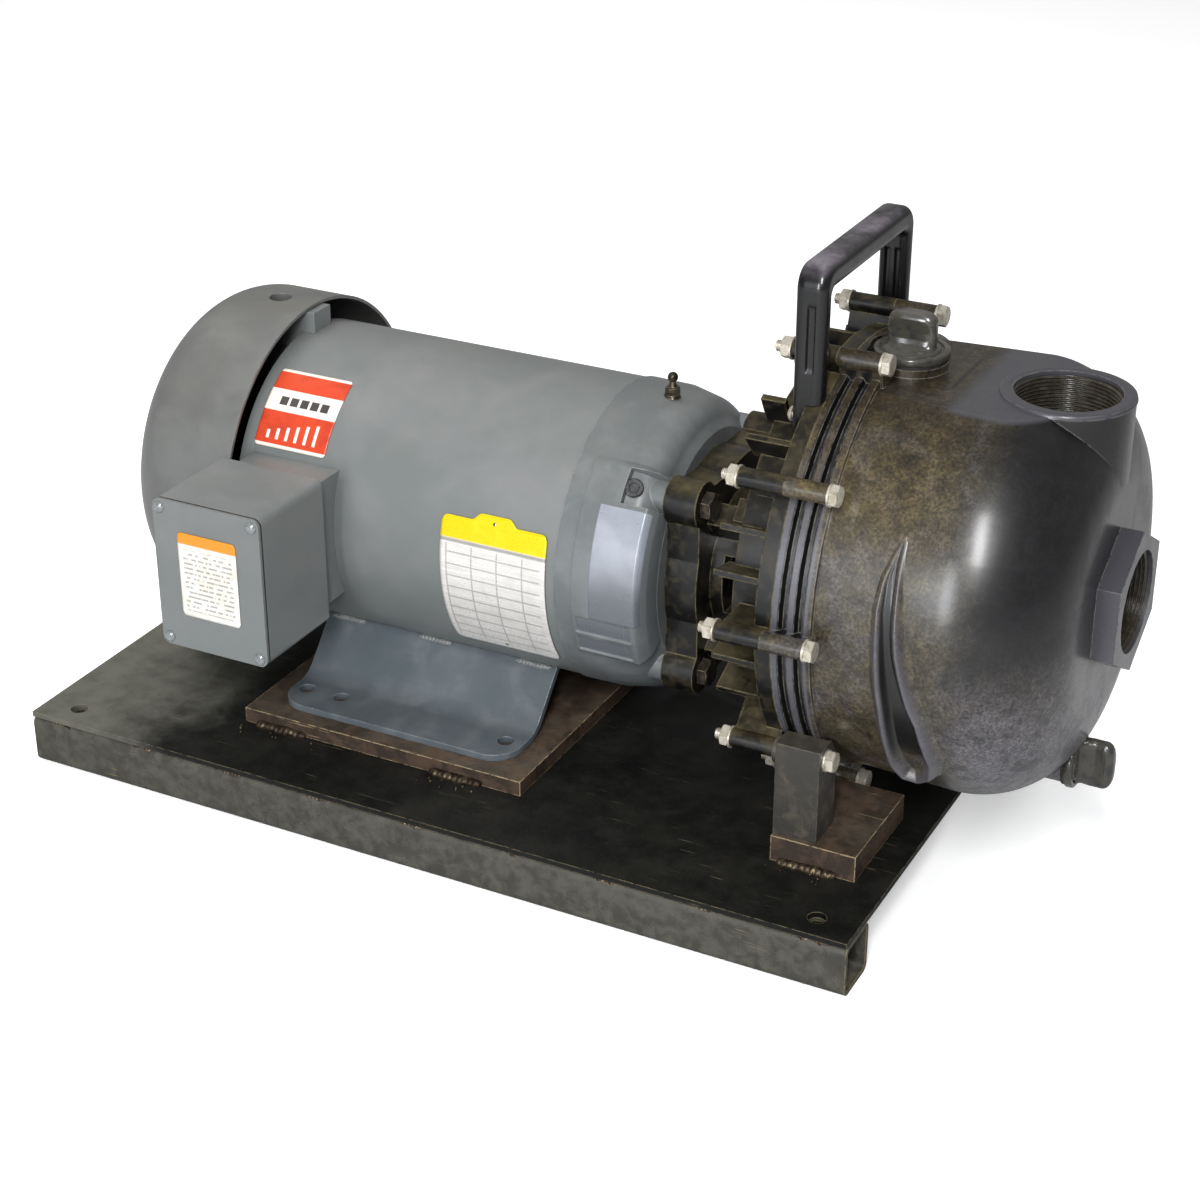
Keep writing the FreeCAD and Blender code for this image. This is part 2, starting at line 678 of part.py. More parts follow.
def motor_frame():
    """Shell, stator, end bells, outer bearing rings, through bolts and grease fitting."""
    axis = ("0", "0", "motor_z")
    keep(tube("shell_radius", "shell_bore", "shell_back", "shell_front", "motor_z"), "motor_shell")

    grooves = [rod("through_bolt_diameter / 2 + 1", "core_length + 2",
                   ("core_start - 1",) + around("through_bolt_circle", str(a), "motor_z"))
               for a in QUARTERS]
    core = tube("shell_bore", "rotor_radius + air_gap", "core_start", "core_end", "motor_z")
    keep(cut(core, *grooves), "stator_core")
    inner = "winding_radius - winding_width"
    keep(group(tube("winding_radius", inner, "core_end", "core_end + winding_depth", "motor_z"),
               tube("winding_radius", inner, "core_start - winding_depth", "core_start", "motor_z")),
         "stator_windings")

    # Front end bell, hollow, with a faced end for the pump bracket
    shoulder = "bell_face - 16"
    outer = [("shell_front", "0"), ("bell_face", "0"), ("bell_face", "shell_radius - 19"),
             ("bell_face - 4", "shell_radius - 14", "16"), (shoulder, "shell_radius - 3"),
             ("shell_front + 24", "shell_radius + 0.5"), ("shell_front", "shell_radius + 1")]
    hollow_end = "bell_face - bell_face_thickness"
    hollow = [("shell_front - 1", "0"), (hollow_end, "0"), (hollow_end, "shell_radius - 22"),
              (shoulder + " - 4", "shell_radius - 5 - bell_wall"),
              ("shell_front + 24", "shell_radius - bell_wall"),
              ("shell_front - 1", "shell_radius - bell_wall")]
    spigot = tube("shell_bore", "shell_bore - bell_wall", "shell_front - spigot_length",
                  "shell_front + 2", "motor_z")
    skin = cut(turned(outer, axis), turned(hollow, axis))
    face_hub = rod("front_bearing_radius + hub_wall", "bearing_inset + front_bearing_width + 3",
                   ("front_bearing_start - 3",) + around("0", "0", "motor_z"))
    rabbet = rod("rabbet_radius", "rabbet_length + 2", ("bell_face - 2", "0", "motor_z"))
    pockets = []
    pocket_holes = []
    for k in range(4):
        angle = "%d + face_bolt_angle" % (90 * k)
        y, z = around("face_bolt_circle", angle, "motor_z")
        pockets.append(rod("pocket_radius", "pocket_length", ("bell_face - pocket_length", y, z)))
        pocket_holes.append(rod("face_bolt_diameter / 2 + bolt_gap", "pocket_length + 2",
                                ("bell_face - pocket_length - 1", y, z)))
        pocket_holes.append(rod("pocket_radius - 2.5", "7", ("bell_face - pocket_length - 1", y, z)))
    spigot_start = "shell_front - spigot_length"
    anchors = [rod("7", "24", (spigot_start,) + around("through_bolt_circle", str(a), "motor_z"))
               for a in QUARTERS]
    trimmed = [common(anchor, rod("shell_bore", "40", (spigot_start, "0", "motor_z"))) for anchor in anchors]
    ledges = [add("Cylinder", ("bell_face - ledge_from_face - ledge_length", "0", "motor_z"),
                  Rotation(Vector(1, 0, 0), start + 90) * ALONG_X, Radius="shell_radius + ledge_rise",
                  Height="ledge_length", Angle="ledge_span_angle")
              for start in LEDGE_ANGLES]
    ledge_room = rod("shell_radius - 2 * bell_wall", "bell_length", ("shell_front", "0", "motor_z"))
    plate = fuse(skin, spigot, face_hub, rabbet, cut(group(*ledges), ledge_room), *pockets, *trimmed)
    bore = rod("front_bearing_radius", "front_bearing_width + 10",
               ("front_bearing_start - 10", "0", "motor_z"))
    eye = rod("shaft_front_radius + 3", "40", ("front_bearing_end - 1", "0", "motor_z"))
    stud_holes = [rod("through_bolt_diameter / 2", "20",
                      ("shell_front - spigot_length - 1",) + around("through_bolt_circle", str(a), "motor_z"))
                  for a in QUARTERS]
    grease_hole = rod("3", "20", ("grease_x", "0", "grease_seat - 7"), ALONG_Z)
    spot_face = rod("5", "10", ("grease_x", "0", "grease_seat"), ALONG_Z)
    keep(cut(plate, bore, eye, grease_hole, spot_face, *pocket_holes, *stud_holes), "front_end_bell")

    # Rear end bell with four arms that carry the fan cover
    plate = rod("shell_radius", "rear_plate_thickness", ("rear_face", "0", "motor_z"))
    spigot = tube("shell_bore", "shell_bore - bell_wall", "shell_back - 1", "shell_back + spigot_length",
                  "motor_z")
    hub = rod("rear_bearing_radius + hub_wall", "shell_back - rear_bearing_start",
              ("rear_bearing_start", "0", "motor_z"))
    reach = "cover_radius - cover_wall - close_gap - 0.45"
    seat = "cover_cup_floor - cover_cup_wall - close_gap"
    arms = [spoke("cover_arm_start", "shell_back", "shell_radius - 12", seat, "18", a, "motor_z")
            for a in COVER_SCREW_ANGLES]
    arms += [spoke("cover_screw_x + 10", "shell_back", "shell_radius - 12", reach, "18", a, "motor_z")
             for a in COVER_SCREW_ANGLES]
    webs = [spoke("cover_arm_start", "shell_back", "rear_bearing_radius + 3", "shell_radius - 8",
                  "8", a, "motor_z") for a in COVER_SCREW_ANGLES]
    bore = rod("rear_bearing_radius", "rear_bearing_width + 8", ("rear_bearing_start", "0", "motor_z"))
    screws = [rod("2.1", "20", ("cover_screw_x",) + around("cover_cup_floor - 16", str(a), "motor_z"),
                  Rotation(Vector(1, 0, 0), a - 90)) for a in COVER_SCREW_ANGLES]
    eye = rod("shaft_rear_radius + 2", "20", ("rear_bearing_start - 10", "0", "motor_z"))
    stud_holes = [rod("through_bolt_diameter / 2 + bolt_gap", "30",
                      ("shell_back - 20",) + around("through_bolt_circle", str(a), "motor_z"))
                  for a in QUARTERS]
    spots = [rod("8", "20", ("rear_face - 20",) + around("through_bolt_circle", str(a), "motor_z"))
             for a in QUARTERS]
    body = fuse(plate, spigot, hub, *arms, *webs)
    keep(cut(body, bore, eye, *screws, *stud_holes, *spots), "rear_end_bell")

    studs = []
    for a in QUARTERS:
        y, z = around("through_bolt_circle", str(a), "motor_z")
        length = "shell_front - spigot_length + 16 - rear_face"
        shank = rod("through_bolt_diameter / 2", length, ("rear_face", y, z))
        head = hexagon("10", "4", ("rear_face - 4", y, z))
        studs.append(fuse(shank, head))
    keep(group(*studs), "through_bolts")

    keep(group(tube("front_bearing_radius", "front_bearing_radius - 4.5", "front_bearing_start",
                    "front_bearing_end", "motor_z"),
               tube("rear_bearing_radius", "rear_bearing_radius - 4", "rear_bearing_start",
                    "rear_bearing_end", "motor_z")), "bearing_outer_rings")

    stem = rod("3", "8", ("grease_x", "0", "grease_seat - 6"), ALONG_Z)
    nut = hexagon("8", "5", ("grease_x", "0", "grease_seat"), ALONG_Z)
    neck = rod("2.4", "12", ("grease_x", "0", "grease_seat"), ALONG_Z)
    tip = add("Sphere", ("grease_x", "0", "grease_seat + 12.5"), ALONG_Z, Radius="3.2")
    keep(fuse(stem, nut, neck, tip), "grease_fitting")


def fan_cover():
    """Domed sheet cover over the fan, slotted at the back, with its screws."""
    def dome(shrink, start):
        radius = "cover_radius - %s" % shrink
        end = "cover_end + %s" % shrink
        corner = "(cover_corner - %s)" % shrink
        rim = "cover_end + cover_corner + 3"
        inner = "cover_radius - cover_corner"
        return [(start, "0"), (start, radius), (rim, radius, corner),
                ("cover_end + 3 + %s" % shrink, inner), (end, "20"), (end, "0")]
    skin = cut(turned(dome("0", "cover_start"), ("0", "0", "motor_z")),
               turned(dome("cover_wall", "cover_start + 1"), ("0", "0", "motor_z")))
    count = int(value("cover_slot_count"))
    slots = [spoke("cover_end - 5", "cover_end + 20", "cover_slot_inner", "cover_slot_outer",
                   "cover_slot_width", 360 / count * k, "motor_z") for k in range(count)]
    def at_screws(radius, length, start):
        return [rod(radius, length, ("cover_screw_x",) + around(start, str(a), "motor_z"),
                    Rotation(Vector(1, 0, 0), a - 90)) for a in COVER_SCREW_ANGLES]
    cups = at_screws("cover_cup_radius + cover_cup_wall", "cover_cup_depth + cover_cup_wall - 1",
                     "cover_cup_floor - cover_cup_wall")
    rooms = at_screws("cover_cup_radius", "20", "cover_cup_floor")
    holes = at_screws("2.3", "14", "cover_cup_floor - 8")
    keep(cut(fuse(skin, *cups), *slots, *rooms, *holes), "fan_cover")
    screws = []
    for a in COVER_SCREW_ANGLES:
        turn = Rotation(Vector(1, 0, 0), a - 90)
        foot = around("cover_cup_floor - 15", str(a), "motor_z")
        top = around("cover_cup_floor + running_fit", str(a), "motor_z")
        shank = rod("2.1", "15.2", ("cover_screw_x",) + foot, turn)
        head = rod("4.2", "2.4", ("cover_screw_x",) + top, turn)
        screws.append(fuse(shank, head))
    keep(group(*screws), "fan_cover_screws")


def conduit_box():
    """Open steel box with a neck to the shell, then gasket, lid, screws and label."""
    def slab(inset, back, front):
        loop = rounded("box_start + %s" % inset, "box_bottom + %s" % inset,
                       "box_end - %s" % inset, "box_top - %s" % inset, "(box_corner - %s)" % inset)
        depth = "(%s) - (%s)" % (front, back)
        return pushed([loop], depth, ("0", "-(%s)" % back, "0"), "XZ_Plane")

    def at_screws(radius, length, face):
        return [rod(radius, length, ("box_x + %s * (box_screw_x)" % sx, "-(%s)" % face,
                                     "motor_z + %s * (box_screw_z)" % sz), ALONG_Y)
                for sx in ("-1", "1") for sz in ("-1", "1")]

    neck = block("box_x - box_neck / 2", "box_x + box_neck / 2", "-(box_back + 1)", "-(shell_radius - 25)",
                 "motor_z - 40", "motor_z + 40")
    duct = rod("box_duct_radius", "60", ("box_x", "-(box_back + 10)", "motor_z"), ALONG_Y)
    shell = rod("shell_radius + running_fit", "shell_length", ("shell_back", "0", "motor_z"))
    entry = rod("conduit_diameter / 2", "box_wall + 4",
                ("box_start - 2", "-(box_back + box_depth / 2)", "motor_z"))
    inside = slab("box_wall", "box_back + box_wall", "gasket_back + 1")
    posts = at_screws("box_screw_inset - 0.4", "16", "gasket_back")
    body = fuse(cut(slab("0", "box_back", "gasket_back"), inside), neck, *posts)
    threads = at_screws("box_screw_radius", "15", "gasket_back + 1")
    keep(cut(body, duct, shell, entry, *threads), "conduit_box")

    clear = "box_screw_radius + bolt_gap"
    gasket = cut(slab("0", "gasket_back", "lid_back"), slab("3", "gasket_back - 1", "lid_back + 1"))
    ears = at_screws("box_screw_inset - 1", "box_gasket_thickness", "lid_back")
    holes = at_screws(clear, "box_gasket_thickness + 2", "lid_back + 1")
    keep(cut(fuse(gasket, *ears), *holes), "box_gasket")
    keep(cut(slab("0", "lid_back", "box_front"), *at_screws(clear, "10", "box_front + 1")), "box_lid")
    shanks = at_screws("box_screw_radius", "14", "box_front + 0.5")
    heads = at_screws("box_screw_radius + 1.6", "2", "box_front + 2")
    keep(group(*[fuse(shank, head) for shank, head in zip(shanks, heads)]), "box_lid_screws")
    keep(block("box_x - box_label_width / 2", "box_x + box_label_width / 2",
               "-(box_front + 0.3)", "-box_front",
               "motor_z + 2 - box_label_height / 2", "motor_z + 2 + box_label_height / 2"), "box_label")


def shell_plate(label, start, length, top_angle, span_angle, thickness):
    """A thin plate bent round the motor shell, between two angles on the near side."""
    turn = Rotation(Vector(1, 0, 0), value(top_angle)) * Rotation(Vector(1, 0, 0), 90) * ALONG_X
    sector = add("Cylinder", (start, "0", "motor_z"), turn, Height=length, Angle=span_angle,
                 Radius="shell_radius + running_fit + " + thickness)
    core = rod("shell_radius + running_fit", "shell_length + 40", ("shell_back - 20", "0", "motor_z"))
    keep(cut(sector, core), label)


def motor_plates():
    """Nameplate with two rivets, and the sticker on the shell."""
    shell_plate("nameplate", "nameplate_start", "nameplate_length", "nameplate_top_angle",
                "nameplate_span_angle", "nameplate_thickness")
    shell_plate("motor_sticker", "shell_back", "sticker_length", "sticker_top_angle",
                "sticker_span_angle", "sticker_thickness")
    rivets = []
    for angle in ("nameplate_top_angle + 3", "nameplate_top_angle + nameplate_span_angle - 3"):
        y, z = around("shell_radius + running_fit + nameplate_thickness", angle, "motor_z")
        turn = Rotation(Vector(1, 0, 0), value(angle) - 90)
        rivets.append(rod("1.6", "0.8", ("nameplate_start + nameplate_length / 2", y, z), turn))
    keep(group(*rivets), "nameplate_rivets")


def bracket():
    """Cast bracket: lobed face on the motor, open hub and posts, finned drum and pump flange."""
    motor = ("0", "0", "motor_z")
    half = "adapter_half_width"
    square = block("bell_face", "adapter_end", "-" + half, half, "motor_z - " + half, "motor_z + " + half)
    bulge = rod(half + " + 3", "adapter_thickness", ("bell_face", "0", "motor_z"))
    solids = [square, bulge]
    tools = []
    hub_length = "joint - bell_face"
    solids.append(rod("bracket_hub_radius", hub_length, ("bell_face", "0", "motor_z")))
    for k in range(4):
        angle = "%d + face_bolt_angle" % (90 * k)
        y, z = around("face_bolt_circle", angle, "motor_z")
        solids.append(rod("lobe_radius", "adapter_thickness", ("bell_face", y, z)))
        tools.append(rod("face_bolt_diameter / 2 + bolt_gap", "adapter_thickness + 2",
                         ("bell_face - 1", y, z)))
        degrees = value(angle)
        solids.append(spoke("adapter_end - 1", "drum_start + 8", "bracket_hub_radius - 5",
                            "face_bolt_circle - 11", "14", degrees, "motor_z"))
        solids.append(spoke("drum_start - 20", "drum_start + 8", "bracket_hub_radius - 5",
                            "drum_radius - 25", "14", degrees, "motor_z"))
    drum = cut(rod("drum_radius", "drum_length", ("drum_start", "0", "pump_z")),
               rod("drum_radius - drum_wall", "drum_length - drum_wall - back_plate_thickness",
                   ("drum_start + drum_wall", "0", "pump_z")))
    flange = rod("ring_radius", "flange_thickness", ("joint - flange_thickness", "0", "pump_z"))
    solids += [drum, flange]
    bolts = int(value("tie_bolt_count"))
    fins = int(value("fin_count"))
    for k in range(fins):
        angle = 360 / fins * k
        if k * bolts % fins == 0:
            continue
        solids.append(spoke("drum_start - fin_overhang", "joint - flange_thickness + 1", "drum_radius - 4",
                            "fin_radius", "fin_thickness", angle, "pump_z"))
    for k in range(bolts):
        angle = 360 / bolts * k
        y, z = around("tie_bolt_circle", str(angle), "pump_z")
        solids.append(rod("tie_boss_radius", "tie_boss_back", ("joint - tie_boss_back", y, z)))
        solids.append(spoke("joint - tie_boss_back", "joint", "drum_radius - 4", "tie_bolt_circle",
                            "fin_thickness + 1", angle, "pump_z"))
        tools.append(rod("tie_bolt_diameter / 2 + bolt_gap", "tie_boss_back + 2",
                         ("joint - tie_boss_back - 1", y, z)))
    tools.append(rod("rabbet_radius + running_fit", "rabbet_length + 1.5", ("bell_face - 1", "0", "motor_z")))
    tools.append(rod("bracket_hub_bore", "joint - back_plate_thickness - bell_face",
                     ("bell_face", "0", "motor_z")))
    tools.append(rod("seal_radius", "20", ("joint - back_plate_thickness - 5", "0", "motor_z")))
    reach = "bracket_hub_radius + 1"
    for a in (0, 180):
        tools.append(spoke("adapter_end + 8", "drum_start - 8", "bracket_hub_bore - 3", reach, "36", a,
                           "motor_z"))
    for sy in ("-1", "1"):
        y = sy + " * (handle_screw_y)"
        tools.append(block("handle_back - handle_head_height - 1", "joint - flange_thickness",
                           y + " - handle_leg / 2 - close_gap", y + " + handle_leg / 2 + close_gap",
                           "handle_foot_z - close_gap", "pump_z + ring_radius + 10"))
        tools.append(rod("handle_screw_diameter / 2", "flange_thickness + 6",
                         ("joint - flange_thickness - 7", y, "handle_screw_z")))
    keep(cut(fuse(*solids), *tools), "bracket")

    bolts = []
    for k in range(4):
        y, z = around("face_bolt_circle", "%d + face_bolt_angle" % (90 * k), "motor_z")
        shank = rod("face_bolt_diameter / 2", "adapter_thickness + 18", ("bell_face - 18", y, z))
        head = hexagon("face_bolt_head", "6.5", ("adapter_end", y, z))
        bolts.append(fuse(shank, head))
    keep(group(*bolts), "bracket_bolts")


def handle():
    """Moulded carrying handle over the flange, held by one screw at each leg."""
    half = "handle_half_width"
    inner = "(handle_half_width - handle_leg)"
    under = "handle_top - handle_grip_height"
    low = "handle_foot_z"
    corner = "handle_corner"
    loop = [("-" + half, low), ("-" + inner, low), ("-" + inner, under), (inner, under), (inner, low),
            (half, low), (half, "handle_top - " + corner, corner), (half + " - " + corner, "handle_top"),
            (corner + " - " + half, "handle_top", corner), ("-" + half, "handle_top - " + corner)]
    grip = pushed([loop], "handle_depth", ("handle_back", "0", "0"))
    limit = value(under) + 0.1

    def upper(edge):
        return edge.BoundBox.ZMin > limit and edge.BoundBox.XLength < 0.01

    grip = smooth(grip, "handle_round", upper)
    ring = rod("ring_radius", "handle_depth + 10", ("handle_back - 5", "0", "pump_z"))
    front = block("joint - flange_thickness", "joint + 20", "-90", "90", "pump_z", "handle_top")
    holes = []
    screws = []
    for sign in ("-1", "1"):
        y = sign + " * (handle_screw_y)"
        holes.append(rod("handle_screw_diameter / 2 + bolt_gap", "handle_tab_depth + 2",
                         ("handle_back - 1", y, "handle_screw_z")))
        shank = rod("handle_screw_diameter / 2", "handle_tab_depth + 8", ("handle_back", y, "handle_screw_z"))
        head = rod("handle_head_radius", "handle_head_height",
                   ("handle_back - handle_head_height", y, "handle_screw_z"))
        screws.append(fuse(shank, head))
    keep(cut(cut(grip, common(ring, front)), *holes), "handle")
    keep(group(*screws), "handle_screws")


def casing():
    """Pump casing: grooved ring, blunt dome, flat land, two ports, fill and drain necks."""
    pump = ("0", "0", "pump_z")
    groove = "ring_radius - ring_groove_depth"
    corner_x = "casing_end - casing_corner"
    swell = "casing_radius + casing_swell"
    corner_r = "(casing_radius + casing_swell - casing_corner)"
    outer = [("joint", "0"), ("joint", "ring_radius"), ("joint + 4", "ring_radius"),
             ("joint + 5.5", groove), ("joint + 7.5", groove), ("joint + 9", "ring_radius"),
             ("joint + 13", "ring_radius"), ("joint + 14.5", groove), ("joint + 16.5", groove),
             ("joint + 18", "ring_radius"), ("ring_end", "ring_radius"), ("ring_end", "casing_radius"),
             (corner_x, swell, "-casing_corner"), ("casing_end", corner_r), ("casing_end", "0")]
    wall = "casing_wall"
    inner = [("joint - 1", "0"), ("joint - 1", "casing_radius - " + wall),
             ("ring_end", "casing_radius - " + wall),
             (corner_x, swell + " - " + wall, "-(casing_corner - casing_wall)"),
             ("casing_inside", corner_r), ("casing_inside", "0")]
    over = block("ring_end", "casing_end + 40", "-150", "150", "land_z", "land_z + 60")
    under = block("joint - 5", "casing_end + 40", "-150", "150", "land_z - casing_wall", "land_z + 60")
    hull = cut(turned(outer, pump), over)
    cavity = cut(turned(inner, pump), under)
    discharge = rod("discharge_radius", "discharge_top - land_z + 46", ("discharge_x", "0", "land_z - 46"),
                    ALONG_Z)
    hexagonal = hexagon("hex_flats", "hex_end - casing_end + 6", ("casing_end - 6", "0", "pump_z"))
    fill_neck = rod("fill_neck_radius", "22", ("fill_x", "0", "fill_seat - 22"), ALONG_Z)
    drain_neck = rod("drain_neck_radius", "34", ("drain_seat - 34", "0", "drain_z"))
    solids = [hull, discharge, hexagonal, fill_neck, drain_neck]
    tools = []
    bolts = int(value("tie_bolt_count"))
    for k in range(bolts):
        angle = 360 / bolts * k
        y, z = around("tie_bolt_circle", str(angle), "pump_z")
        if k not in LEG_BOLTS:
            solids.append(rod("tie_boss_radius", "tie_boss_front", ("joint", y, z)))
            solids.append(spoke("joint", "joint + tie_boss_front", "ring_radius - 6", "tie_bolt_circle",
                                "fin_thickness + 1", angle, "pump_z"))
        tools.append(rod("tie_bolt_diameter / 2 + bolt_gap", "tie_boss_front + 2", ("joint - 1", y, z)))
    seal_groove = tube("ring_seal_radius + ring_seal_section + 0.2",
                       "ring_seal_radius - ring_seal_section - 0.2",
                       "joint - 1", "joint + 2 * ring_seal_section", "pump_z")
    ports = [rod("port_radius", "port_depth + 1", ("discharge_x", "0", "discharge_top - port_depth"),
                 ALONG_Z),
             rod("port_radius - 2", "32", ("discharge_x", "0", "discharge_top - port_depth - 31"), ALONG_Z),
             rod("port_radius", "60", ("casing_end - 20", "0", "pump_z")),
             rod("fill_stem_radius + running_fit", "40", ("fill_x", "0", "fill_seat - 39"), ALONG_Z),
             rod("fill_collar_radius + 1.5", "30", ("fill_x", "0", "fill_seat"), ALONG_Z),
             rod("drain_stem_radius + running_fit", "60", ("drain_seat - 59", "0", "drain_z")),
             rod("drain_collar_radius + 1", "40", ("drain_seat", "0", "drain_z"))]
    thread_boss = rod("discharge_radius", "port_depth", ("discharge_x", "0", "discharge_top - port_depth"),
                      ALONG_Z)
    drain_boss = common(rod("drain_collar_radius + casing_wall", "40", ("drain_seat - 8", "0", "drain_z")),
                        turned(outer, pump))
    shell = fuse(cut(fuse(*solids), cavity), thread_boss, drain_boss)
    keep(cut(cut(cut(shell, group(*tools)), seal_groove), *ports), "pump_casing")
    keep(ring_of("ring_seal_radius", "ring_seal_section", ("joint + ring_seal_section", "0", "pump_z")),
         "casing_seal_ring")


def pump_legs():
    """Square legs between the pads and the lowest side tie bolts."""
    for label, sign, bolt in (("pump_leg_front", -1, LEG_BOLTS[0]), ("pump_leg_back", 1, LEG_BOLTS[1])):
        low, high = ("-leg_front", "-(leg_inner)") if sign < 0 else ("leg_inner", "leg_front")
        y, z = around("tie_bolt_circle", "360 / tie_bolt_count * %d" % bolt, "pump_z")
        post = block("leg_start", "leg_end", low, high, "pad_top", z + " + leg_top_over_bolt")
        eye = rod("leg_eye_radius", "leg_from_joint + leg_length", ("joint", y, z))
        ring = rod("ring_radius + 0.02", "ring_length + 10", ("joint - 5", "0", "pump_z"))
        dome = rod("casing_radius + casing_swell", "60", ("ring_end", "0", "pump_z"))
        hole = rod("tie_bolt_diameter / 2 + bolt_gap", "60", ("joint - 5", y, z))
        keep(cut(fuse(post, eye), ring, dome, hole), label)


def tie_bolts():
    """Ten long bolts round the pump flange, each with a nut and two washers."""
    bolts, nuts, washers = [], [], []
    count = int(value("tie_bolt_count"))
    for k in range(count):
        angle = 360 / count * k
        y, z = around("tie_bolt_circle", str(angle), "pump_z")
        front = "leg_end" if k in LEG_BOLTS else "joint + tie_boss_front"
        back = "joint - tie_boss_back"
        start = back + " - washer_thickness - tie_nut_height - tie_stub"
        head_x = front + " + washer_thickness"
        shank = rod("tie_bolt_diameter / 2", "%s - (%s)" % (head_x, start), (start, y, z))
        bolts.append(fuse(shank, hexagon("tie_head_flats", "tie_head_height", (head_x, y, z))))
        nut = hexagon("tie_head_flats", "tie_nut_height",
                      (back + " - washer_thickness - tie_nut_height", y, z))
        nuts.append(cut(nut, rod("tie_bolt_diameter / 2 + 0.01", "20", (start, y, z))))
        for x in (front, back + " - washer_thickness"):
            washers.append(tube_at("washer_radius", "tie_bolt_diameter / 2 + 0.1", "washer_thickness",
                                   (x, y, z)))
    keep(group(*bolts), "tie_bolts")
    keep(group(*nuts), "tie_nuts")
    keep(group(*washers), "tie_washers")


def pump_inside():
    """Volute, suction chamber, seal seat and the check valve seat with its pin."""
    motor = ("0", "0", "motor_z")
    body = rod("volute_radius", "volute_length", ("joint", "0", "motor_z"))
    room = rod("volute_radius - volute_wall", "volute_length - volute_wall", ("joint", "0", "motor_z"))
    eye = rod("eye_radius", "volute_wall + 4", ("volute_inside - 2", "0", "motor_z"))
    outlet = block("joint + 8", "volute_inside", "25", "60", "motor_z + 40", "motor_z + 100")
    keep(cut(body, room, eye, outlet), "volute")
    outer = rod("chamber_radius + chamber_wall", "casing_inside - volute_end",
                ("volute_end", "0", "chamber_z"))
    inner = rod("chamber_radius", "casing_inside - volute_end", ("volute_end", "0", "chamber_z"))
    keep(cut(outer, inner), "suction_chamber")

    seat = rod("valve_seat_radius", "valve_seat_length", ("seat_start", "0", "pump_z"))
    ears = []
    ear_in = "valve_eye_width / 2 + close_gap"
    ear_top = "valve_z + valve_eye_radius - 0.7"
    for low, high in (("-(%s + 4)" % ear_in, "-(%s)" % ear_in), (ear_in, ear_in + " + 4")):
        ears.append(block("seat_start", "casing_inside", low, high, "pump_z + 22", ear_top))
        ears.append(block("valve_pin_x - valve_eye_radius", "seat_start + 1", low, high,
                          "valve_z - valve_eye_radius - 1.7", ear_top))
    through = rod("port_radius - 1", "40", ("seat_start - 10", "0", "pump_z"))
    pin_hole = rod("valve_pin_radius", "40", ("valve_pin_x", "-20", "valve_z"), ALONG_Y)
    chamber = rod("chamber_radius - 0.02", "60", ("seat_start - 30", "0", "chamber_z"))
    keep(cut(common(fuse(seat, *ears), chamber), through, pin_hole), "valve_seat")
    half = ear_in + " + 4"
    keep(rod("valve_pin_radius", "2 * (%s)" % half, ("valve_pin_x", "-(%s)" % half, "valve_z"), ALONG_Y),
         "valve_pin")
    disc = rod("valve_radius", "valve_thickness", ("seat_start - close_gap - valve_thickness", "0", "pump_z"))
    arm = block("seat_start - close_gap - valve_thickness", "seat_start - close_gap", "-valve_eye_width / 2",
                "valve_eye_width / 2", "pump_z + valve_radius - 6", "valve_z")
    boss = rod("valve_eye_radius", "valve_eye_width", ("valve_pin_x", "-valve_eye_width / 2", "valve_z"),
               ALONG_Y)
    hole = rod("valve_pin_radius + running_fit", "60", ("valve_pin_x", "-30", "valve_z"), ALONG_Y)
    keep(cut(fuse(disc, arm, boss), hole), "valve_flapper")
    keep(cut(rod("seal_radius", "back_plate_thickness", ("joint - back_plate_thickness", "0", "motor_z")),
             rod("seal_bore", "back_plate_thickness", ("joint - back_plate_thickness", "0", "motor_z"))),
         "seal_seat")


